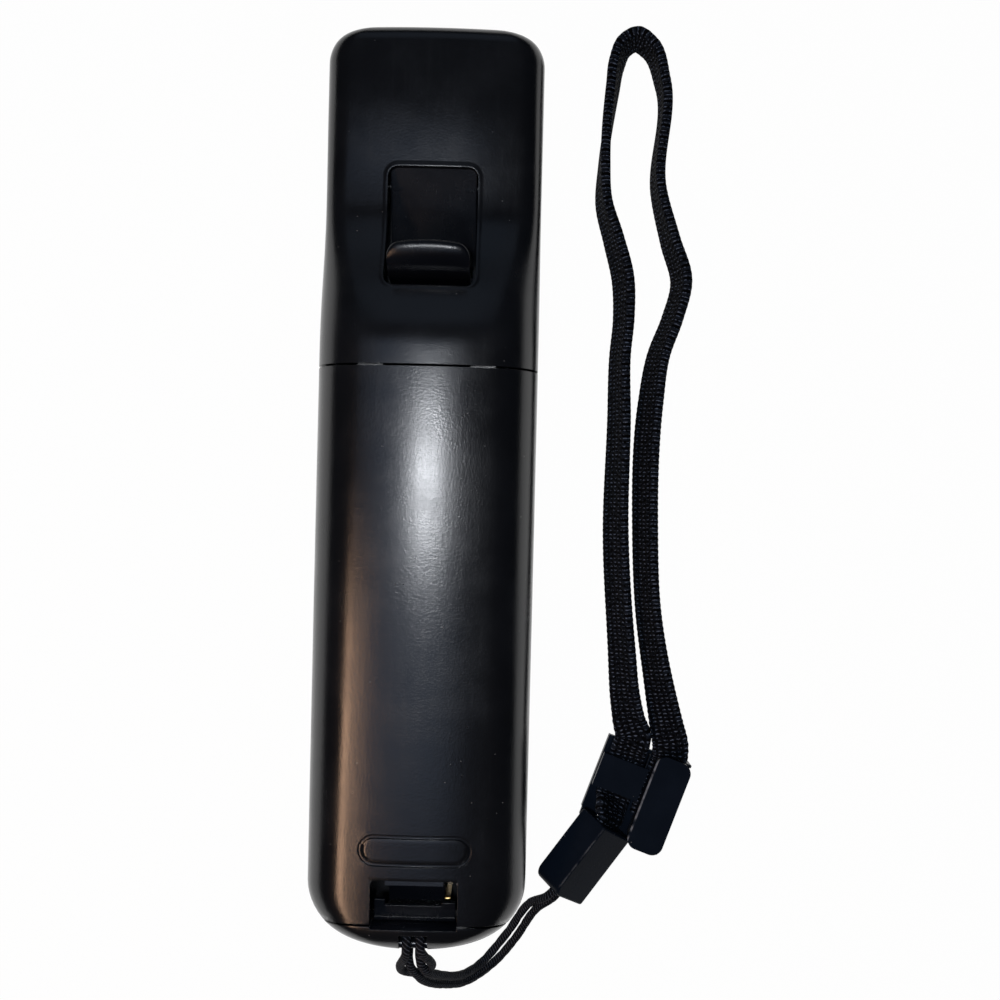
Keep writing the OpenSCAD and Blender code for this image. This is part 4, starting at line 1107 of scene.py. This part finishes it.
# %% Block
block_at, block_turn, block_roll = Vector((28.15, -64.25, 5.5)), -36, 44
block_a, block_b, block_len, block_r = 6, 9.2, 14.4, 2.1
slot_t, slot_w = web_t + 0.5, web_w + 0.5
slot_deep = 1.4
cord_hole = (1.1, 2)


def turned(axis, degrees):
    return Matrix.Rotation(math.radians(degrees), 4, axis)


block_place = Matrix.Translation(block_at * MM) @ turned("Z", block_turn) @ turned("Y", -block_roll)
end, edge_up = block_len / 2, block_b / 2
block_side = [(-end, -edge_up), (end, -edge_up), (end, edge_up)]
block_side += [(block_r * (1 + math.cos(a)) - end, edge_up + block_r * (math.sin(a) - 1))
               for a in np.radians(range(90, 181, 10))]
block = swept(np.array([[(x, y, z) for y, z in block_side] for x in (-block_a / 2, block_a / 2)]))
cord_block = built("cord_block_body", [block], [
    centred(0, slot_t / 2, end - slot_deep, end + 1, -slot_w / 2, slot_w / 2),
    centred(0, cord_hole[0], -end - 1, -end + slot_deep, -cord_hole[1], cord_hole[1])], block_place)
seat(cord_block, "housing", "strap_plastic", "cord_block")
soften(cord_block, 0.45)

# %% Lock base
lock_at, lock_turn = Vector((37.1, -53.5, 0)), -20
lock_place = Matrix.Translation(lock_at * MM) @ turned("Z", lock_turn)
lock_half, lock_rear, lock_front = 7.5, -5.7, 8
lock_floor = 1
lock_wall_z = lock_floor + web_t + 0.5
lever_z, lever_h = lock_wall_z + 0.45, 2.9
axis_x, axis_z, axis_r = 7, lever_z + 0.5, 0.45
post_x, post_z, post_rear, post_front = (6.5, lock_half), axis_z + 0.55, (-8.3, -7.85), (8.05, 8.5)
bridge_y, bridge_z = (-1, 5), (lock_wall_z - 0.2, lock_wall_z + 0.7)
under_z = (0.05, lock_floor - 0.05)

plates = [box_mesh(-lock_half, 0.8, lock_rear, lock_front, 0, lock_floor),
          box_mesh(0.4, lock_half, -6.8, lock_front, 0, lock_floor),
          box_mesh(-7.3, -4.2, -7.2, -5, *under_z), box_mesh(-0.7, 5.2, -8.6, -5, *under_z)]
walls = [box_mesh(-lock_half, -6.75, lock_rear, lock_front, 0, lock_floor + 0.5),
         box_mesh(-7.3, -6.8, -0.9, 4.9, 0, lock_wall_z), box_mesh(0.25, 0.55, -1, 7.4, 0, lock_wall_z),
         box_mesh(7.2, lock_half, post_rear[0], post_front[1], 0, lock_floor + 1)]
bridge = box_mesh(-lock_half, 0.95, *bridge_y, *bridge_z)
posts = [box_mesh(*post_x, *y, 0, post_z) for y in (post_front, post_rear)]
bore = rod(1, (axis_x, 0, axis_z), axis_r, -10, 10, 24)
lock_base = built("lock_base_frame", plates + walls + [bridge] + posts, [bore], lock_place)
seat(lock_base, "housing", "strap_plastic", "lock_base")
soften(lock_base, 0.13)

# %% Lock lever
lever_x, lever_y, lever_r = (1.2, 7.5), (-7.6, 7.9), 1.6
brim_x, brim_y, brim_r = (1.2, 7.6), (-8.4, 8.6), 1.9
lever_bore = axis_r + 0.01


def round_rect(x0, x1, y0, y1, r, n=10):
    """Outline of a rectangle with round corners of n points each."""
    out = []
    for x, y, a0 in ((x1 - r, y1 - r, 0), (x0 + r, y1 - r, 90), (x0 + r, y0 + r, 180), (x1 - r, y0 + r, 270)):
        out += [(x + r * math.cos(a), y + r * math.sin(a)) for a in np.radians(np.linspace(a0, a0 + 90, n))]
    return out


lever_top = lever_z + lever_h
lever = built("lock_lever_plate", [
    prism(round_rect(*lever_x, *lever_y, lever_r), lever_z, lever_top),
    prism(round_rect(*brim_x, *brim_y, brim_r), post_z + 0.4, lever_top)], [
    rod(1, (axis_x, 0, axis_z), lever_bore, -10, 10, 24),
    box_mesh(axis_x + 0.35, 9, -9, 9, lever_z - 1, axis_z - 0.3)], lock_place)
seat(lever, "lock_lever", "strap_plastic", "lock_lever")
soften(lever, 0.4, angle=50)

# %% [markdown]
# ## Writing finishes as sums
# A shader is a tree of small nodes, which is tedious to wire by hand. The class below wraps one socket and
# lets Python's own signs add the Math nodes, so a mask reads as a formula. Its method make adds any node.

# %% A socket that can be added up


class Wire:
    """One socket of a shader, with sums written as Python."""

    def __init__(self, tree, socket=None):
        self.tree, self.socket = tree, socket

    def make(self, kind, settings, inputs, out=0):
        """Adds any node: its type, its settings, then the values or links of its sockets."""
        node = self.tree.nodes.new(kind)
        for key, value in settings.items():
            setattr(node, key, value)
        for key, value in inputs.items():
            if isinstance(value, Wire):
                self.tree.links.new(value.socket, node.inputs[key])
            else:
                node.inputs[key].default_value = value
        return Wire(self.tree, node.outputs[out])

    def sum(self, operation, a, b):
        return self.make("ShaderNodeMath", {"operation": operation}, {0: a, 1: b})

    def __add__(self, other):
        return self.sum("ADD", self, other)

    def __sub__(self, other):
        return self.sum("SUBTRACT", self, other)

    def __rsub__(self, other):
        return self.sum("SUBTRACT", other, self)

    def __mul__(self, other):
        return self.sum("MULTIPLY", self, other)

    __radd__ = __add__
    __rmul__ = __mul__

    def step(self, low, high):
        """0 below low, 1 above high, smooth between."""
        return self.make("ShaderNodeMapRange", {"interpolation_type": "SMOOTHSTEP"},
                         {"Value": self, "From Min": low, "From Max": high})

    def wave(self):
        return self.sum("SINE", self, 0)

    def size(self):
        return self.sum("ABSOLUTE", self, 0)

    def noise(self, scale, detail=2, rough=0.5):
        """Soft noise over this place, with features about 1 / scale apart."""
        return self.make("ShaderNodeTexNoise", {}, {"Vector": self, "Scale": scale, "Detail": detail,
                                                    "Roughness": rough})

    def cells(self, scale):
        """Distance to the nearest of points scattered about 1 / scale apart."""
        return self.make("ShaderNodeTexVoronoi", {}, {"Vector": self, "Scale": scale}, "Distance")

    def vector(self, operation, other=(0, 0, 0), out="Vector"):
        return self.make("ShaderNodeVectorMath", {"operation": operation}, {0: self, 1: other}, out)

    def stretched(self, x, y, z):
        return self.vector("MULTIPLY", (x, y, z))

    def blend(self, a, b):
        """Colour a where this mask is 0 and b where it is 1."""
        colours = [c if isinstance(c, Wire) else (*c, 1) for c in (a, b)]
        return self.make("ShaderNodeMix", {"data_type": "RGBA"}, {0: self, 6: colours[0], 7: colours[1]}, 2)

    def bump(self, height_mm):
        """A normal from this height map."""
        return self.make("ShaderNodeBump", {}, {"Height": self, "Distance": height_mm * MM, "Strength": 1})

    def parts(self):
        return [self.make("ShaderNodeSeparateXYZ", {}, {0: self}, k) for k in range(3)]


def new_finish(name, **constants):
    """A material, its shader and the place on the object in millimetres."""
    material = bpy.data.materials.new(name)
    material.use_nodes = True
    shader = material.node_tree.nodes["Principled BSDF"]
    for key, value in constants.items():
        shader.inputs[key.replace("_", " ")].default_value = value
    place = Wire(material.node_tree).make("ShaderNodeTexCoord", {}, {}, "Object")
    return material, shader, place.stretched(1 / MM, 1 / MM, 1 / MM)


def feed(shader, **wires):
    """Links what varies over the surface to the shader's sockets."""
    for key, wire in wires.items():
        wire.tree.links.new(wire.socket, shader.inputs[key.replace("_", " ")])


def shade(colour, k):
    return tuple(c * k for c in colour)


finishes = {}

# %% [markdown]
# ## Moulded plastic
# Black plastic is never plain black. The mould leaves a fine grain that breaks up the highlight, fingers
# leave patches that shine a little differently, and dust settles in specks. All of it is noise at a real
# scale. The strap's block and lever get a painted highlight along one edge each, a pale colour that stands in
# for light on the rounded edge, which the mask finds by its distance from a line.

# %% Moulded plastics
highlight_reach = 0.3
# The pale tint of a painted highlight along the strap's edges, then the colour of real dust.
highlight_tint, dust_tint = (0.2, 0.215, 0.24), (0.2, 0.2, 0.2)


def edge_highlight(at, place, start, stop):
    """Mask of a painted highlight: 1 on a straight edge of a placed piece and 0 past the reach; its ends are
    in the piece's own frame.
    """
    start, stop = (place @ (Vector(end) * MM) / MM for end in (start, stop))
    away = at.vector("SUBTRACT", start).vector("CROSS_PRODUCT", (stop - start).normalized())
    return 1 - away.vector("LENGTH", out="Value").step(highlight_reach * 0.5, highlight_reach)


def moulded(slot, tint, rough, grain, depth, smear=0.06, dust=0.0, level=0.5, highlight_edges=()):
    """A moulded plastic: grain spacing in mm and its depth in microns."""
    material, shader, at = new_finish(slot, Specular_IOR_Level=level)
    patches = at.noise(0.09, 3, 0.6).step(0.35, 0.7)
    streaks = at.stretched(1, 0.06, 1).noise(1.3, 2, 0.6).step(0.5, 0.75)
    fine = at.noise(1 / grain, 2, 0.7)
    pits = at.cells(0.6 / grain)
    specks = 1 - at.cells(0.55).step(0.035, 0.07)
    few = at.noise(0.21, 1).step(0.52, 0.6)
    marks = specks * few * dust
    colour = patches.blend(shade(tint, 0.88), shade(tint, 1.14))
    colour = marks.blend(colour, dust_tint)
    for light, *edge in highlight_edges:
        # A pale painted highlight along each listed edge, standing in for light on its rounded edge, broken
        # up by noise.
        painted_highlight = edge_highlight(at, *edge) * at.noise(0.7, 2).step(0.3, 0.6)
        colour = painted_highlight.blend(colour, shade(highlight_tint, light))
    roughness = patches * smear + rough + streaks * (smear * 0.4) + marks * 0.3
    feed(shader, Base_Color=colour, Roughness=roughness, Normal=(fine + pits * 0.5).bump(depth * 0.001))
    finishes[slot] = material


moulded("front_plastic", (0.013, 0.014, 0.0155), 0.38, 0.22, 14, dust=0.3)
moulded("rear_plastic", (0.006, 0.007, 0.009), 0.2, 0.2, 12, dust=0.5)
moulded("cover_plastic", (0.006, 0.007, 0.009), 0.2, 0.22, 16, dust=0.5)
moulded("trigger_plastic", (0.0035, 0.0045, 0.007), 0.22, 0.2, 12, dust=0.5, level=0.24)
moulded("button_plastic", (0.03, 0.032, 0.036), 0.28, 0.2, 5)
moulded("power_plastic", (0.22, 0.012, 0.014), 0.28, 0.2, 5)
# Edges of the lever and of the block that get a painted highlight.
highlight_x, highlight_z = lever_x[0] + 0.1, lever_top - 0.12
highlighted_edges = [(1, lock_place, (highlight_x, -6.5, highlight_z), (highlight_x, 7, highlight_z)),
              (0.4, block_place, (block_a / 2, -6.5, edge_up), (block_a / 2, 6.5, edge_up))]
moulded("strap_plastic", (0.006, 0.0095, 0.0165), 0.24, 0.18, 7, dust=0.6, level=0.02, highlight_edges=highlighted_edges)
moulded("socket", (0.5, 0.49, 0.45), 0.45, 0.25, 12)
moulded("chip", (0.012, 0.012, 0.013), 0.6, 0.12, 20)
moulded("silicone", (0.42, 0.42, 0.39), 0.62, 0.3, 10)
moulded("rubber", (0.012, 0.012, 0.012), 0.7, 0.15, 25)
print(len(finishes), "moulded finishes")

# %% [markdown]
# ## Window, light guides and board
# The nose window is a dark tinted pane, the light guides are frosted, and the board shows copper tracks under
# green lacquer. The tracks are thin bands of two square waves, broken up by noise.

# %% Clear parts and board


def tinted(slot, tint, rough, through):
    material, shader, at = new_finish(slot, Transmission_Weight=through, IOR=1.5)
    haze = at.noise(0.5, 3)
    feed(shader, Base_Color=haze.blend(shade(tint, 0.8), shade(tint, 1.2)), Roughness=haze * 0.1 + rough,
         Normal=at.noise(2.5).bump(0.004))
    finishes[slot] = material


tinted("window", (0.012, 0.003, 0.005), 0.06, 0.0)
tinted("light_guide", (0.55, 0.63, 0.7), 0.25, 0.35)

material, shader, at = new_finish("board", Coat_Roughness=0.15)
x, y, _ = at.parts()
tracks = (x * 4.2).wave().step(0.82, 0.9) * at.noise(0.12, 1).step(0.5, 0.52)
rungs = (y * 4.6).wave().step(0.84, 0.92) * (1 - at.noise(0.12, 1).step(0.47, 0.5))
copper = tracks + rungs
pads = 1 - at.cells(0.35).step(0.16, 0.19)
lacquer = at.noise(0.2, 3).blend((0.012, 0.085, 0.03), (0.018, 0.12, 0.045))
feed(shader, Base_Color=pads.blend(copper.blend(lacquer, (0.035, 0.2, 0.08)), (0.6, 0.58, 0.5)),
     Roughness=at.noise(0.8) * 0.1 + 0.3, Metallic=pads * 0.9, Normal=(copper + pads).bump(0.02))
finishes["board"] = material
print("clear parts and board", list(finishes)[-3:])

# %% [markdown]
# ## Metals
# Plated steel and spring brass are drawn and stamped, so fine streaks run along them. The cells wear a plain
# wrapped sleeve, and the weight is pressed from powder.

# %% Metals and cell sleeve


def metal(slot, tint, rough, streak, depth=3):
    """Metal with streaks drawn out by the three factors of streak."""
    material, shader, at = new_finish(slot)
    lines = at.stretched(*streak).noise(3, 3, 0.7)
    stain = at.noise(0.4, 3).step(0.4, 0.75)
    feed(shader, Base_Color=stain.blend(tint, shade(tint, 0.8)), Roughness=lines * 0.2 + rough + stain * 0.08,
         Metallic=1 - stain * 0.08, Normal=lines.bump(depth * 0.001))
    finishes[slot] = material


metal("steel", (0.56, 0.56, 0.58), 0.18, (0.1, 3, 3))
metal("contact", (0.72, 0.5, 0.2), 0.2, (3, 0.4, 0.4))
metal("shield", (0.62, 0.62, 0.6), 0.26, (0.2, 2, 2))
metal("cell", (0.42, 0.43, 0.45), 0.28, (3, 0.05, 3))
metal("weight", (0.33, 0.31, 0.28), 0.45, (4, 4, 4), 30)
print("metals", list(finishes)[-5:])

# %% [markdown]
# ## Knit and braid
# The tape's edges are rows of chain stitches and its faces are ribbed. Texture that follows the tape needs
# its own map, so the sweep stored how far along and how far across every point lies, and the pattern is a few
# waves of those two lengths. The pale dots on the tape's stitches and the pale flecks on the cord's twisted
# crests are painted highlights, and the knit's low places are painted near-black as painted shade.

# %% Tape and cord


def route_place(material):
    """Length along and place across a strap piece, in millimetres."""
    uv = Wire(material.node_tree).make("ShaderNodeUVMap", {"uv_map": "route"}, {})
    along, over, _ = uv.stretched(map_span, map_span, map_span).parts()
    return along, over


def ripple(length, pitch, shift=0.0):
    """A wave that repeats every pitch millimetres of a length."""
    return (length * (2 * math.pi / pitch) + shift).wave()


rib_pitch, column_pitch, dot_pitch, twist_pitch = 1.1, 2.3, 0.7, 0.55

material, shader, at = new_finish("webbing", Specular_IOR_Level=0.04)
along, over = route_place(material)
rib = ripple(over, rib_pitch)
slant = ripple(along, stitch, over.size() * 2.2)
rim_mask = over.size().step(2.2, 2.7)
ladder = ripple(along, stitch)
yarn = at.noise(5, 3, 0.7)
knit = slant * 0.5 * (1 - rim_mask) + ladder * rim_mask + rib * 0.25
# Where the knit is low the colour is painted near-black as painted shade; the same mask also sets the
# roughness.
knit_relief_and_shade = (knit * 0.5 + 0.5).step(0.1, 0.8)
thread = at.noise(0.8, 2).blend((0.002, 0.003, 0.005), (0.004, 0.0058, 0.0095))
loops = rim_mask.blend(thread, (0.0085, 0.0115, 0.0175))
columns = ripple(over, column_pitch)
dots = (ripple(along, dot_pitch, columns * 1.5) * columns).step(0.35, 0.8)
# Pale dots on the stitch grid are a painted highlight.
stitch_highlights = dots * at.noise(2.6, 2).step(0.4, 0.62)
feed(shader, Base_Color=stitch_highlights.blend(knit_relief_and_shade.blend((0.0015, 0.0015, 0.0018), loops), (0.1, 0.125, 0.175)),
     Roughness=0.9 - knit_relief_and_shade * 0.3 + yarn * 0.1, Normal=(knit * 0.6 + yarn * 0.5).bump(0.16))
finishes["webbing"] = material

material, shader, at = new_finish("cord", Specular_IOR_Level=0.08)
along, over = route_place(material)
twist = ripple(along, twist_pitch, over * 5.3)
fibre = at.noise(7, 3, 0.7)
# Pale flecks on the raised crests of the twist are a painted highlight.
crest_highlights = (twist * fibre).step(0.3, 0.5)
feed(shader, Base_Color=crest_highlights.blend((0.0035, 0.0045, 0.007), (0.07, 0.08, 0.1)),
     Roughness=fibre * 0.2 + 0.6, Normal=(twist * 0.5 + fibre).bump(0.05))
finishes["cord"] = material
print(len(finishes), "finishes in all")

# %% [markdown]
# ## Dressing every piece
# Each new piece and each measured solid that still shows names a slot of the record, and takes that slot's
# finish. Solids that show get their edges rounded by a modifier, which leaves their own points alone.

# %% Assign finishes
slot_of = {part["node"]: part["material_slot"] for part in frame["record"]["subparts"]}
for node, obj in frame["nodes"].items():
    obj.data.materials.clear()
    obj.data.materials.append(finishes[slot_of[node]])
    if not obj.hide_render:
        join = obj.modifiers.new("join", "WELD")
        join.merge_threshold = weld
        soften(obj, 0.1, angle=40, segments=2)
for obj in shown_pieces():
    if "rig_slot" in obj:
        obj.data.materials.clear()
        obj.data.materials.append(finishes[obj["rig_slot"]])

# %% [markdown]
# ## Floor and light
# The wand was cut out on white. The floor looks white to the camera and in reflections, but a share of it
# stays a plain surface, so the object keeps its shadow. A small lamp beside the camera makes the bright patch
# on the cover, and a warm strip at the left draws the long brown streak on its shoulder. A wide dim ceiling
# and a weak lamp beyond the nose fill the rest with a little blue.

# %% Floor
floor_half, floor_drop = 1500, -0.02
white_share = 0.98
floor = bare_mesh("floor", [(x, y, floor_drop) for x, y in square(0, 0, floor_half)], [(0, 1, 2, 3)])
material = bpy.data.materials.new("floor_white")
material.use_nodes = True
tree = material.node_tree
shader = tree.nodes["Principled BSDF"]
shader.inputs["Base Color"].default_value = (0.8, 0.8, 0.8, 1)
shader.inputs["Roughness"].default_value = 0.9
start = Wire(tree)
seen = [start.make("ShaderNodeLightPath", {}, {}, out) for out in
        ("Is Camera Ray", "Is Glossy Ray", "Is Transmission Ray")]
mask = (seen[0] + seen[1] + seen[2]).step(0, 1) * white_share
glow = start.make("ShaderNodeEmission", {}, {"Color": (1, 1, 1, 1), "Strength": 1.0})
both = start.make("ShaderNodeMixShader", {}, {0: mask, 1: Wire(tree, shader.outputs[0]), 2: glow})
tree.links.new(both.socket, tree.nodes["Material Output"].inputs["Surface"])
floor.data.materials.append(material)
print("floor", 2 * floor_half, "mm wide")

# %% Lamps and sky


def lamp(name, at, aim, size, power, colour):
    """A soft lamp that looks at a point, sizes in millimetres."""
    data = bpy.data.lights.new(name, "AREA")
    data.shape = "RECTANGLE"
    data.size, data.size_y = size[0] * MM, size[1] * MM
    data.energy = power
    data.color = colour
    obj = bpy.data.objects.new(name, data)
    obj.location = Vector(at) * MM
    obj.rotation_euler = (Vector(aim) - Vector(at)).to_track_quat("-Z", "Y").to_euler()
    bpy.context.collection.objects.link(obj)
    print(name, power, "W")


lamp("over_lamp", (-8, -4, 320), (0, 0, 20), (16, 26), 0.34, (0.93, 0.96, 1))
lamp("left_strip", (-155, -136, 260), (-8, -136, 20), (160, 40), 0.32, (1, 0.62, 0.4))
lamp("ceiling", (-60, -50, 420), (-10, -50, 20), (320, 240), 0.2, (0.55, 0.7, 1))
lamp("far_fill", (-20, 350, 276), (0, 20, 20), (300, 260), 0.06, (0.6, 0.75, 1))
world = bpy.data.worlds.new("room")
bpy.context.scene.world = world
world.use_nodes = True
world.node_tree.nodes["Background"].inputs["Color"].default_value = (0.008, 0.009, 0.011, 1)
bpy.context.scene.view_settings.view_transform = "Standard"
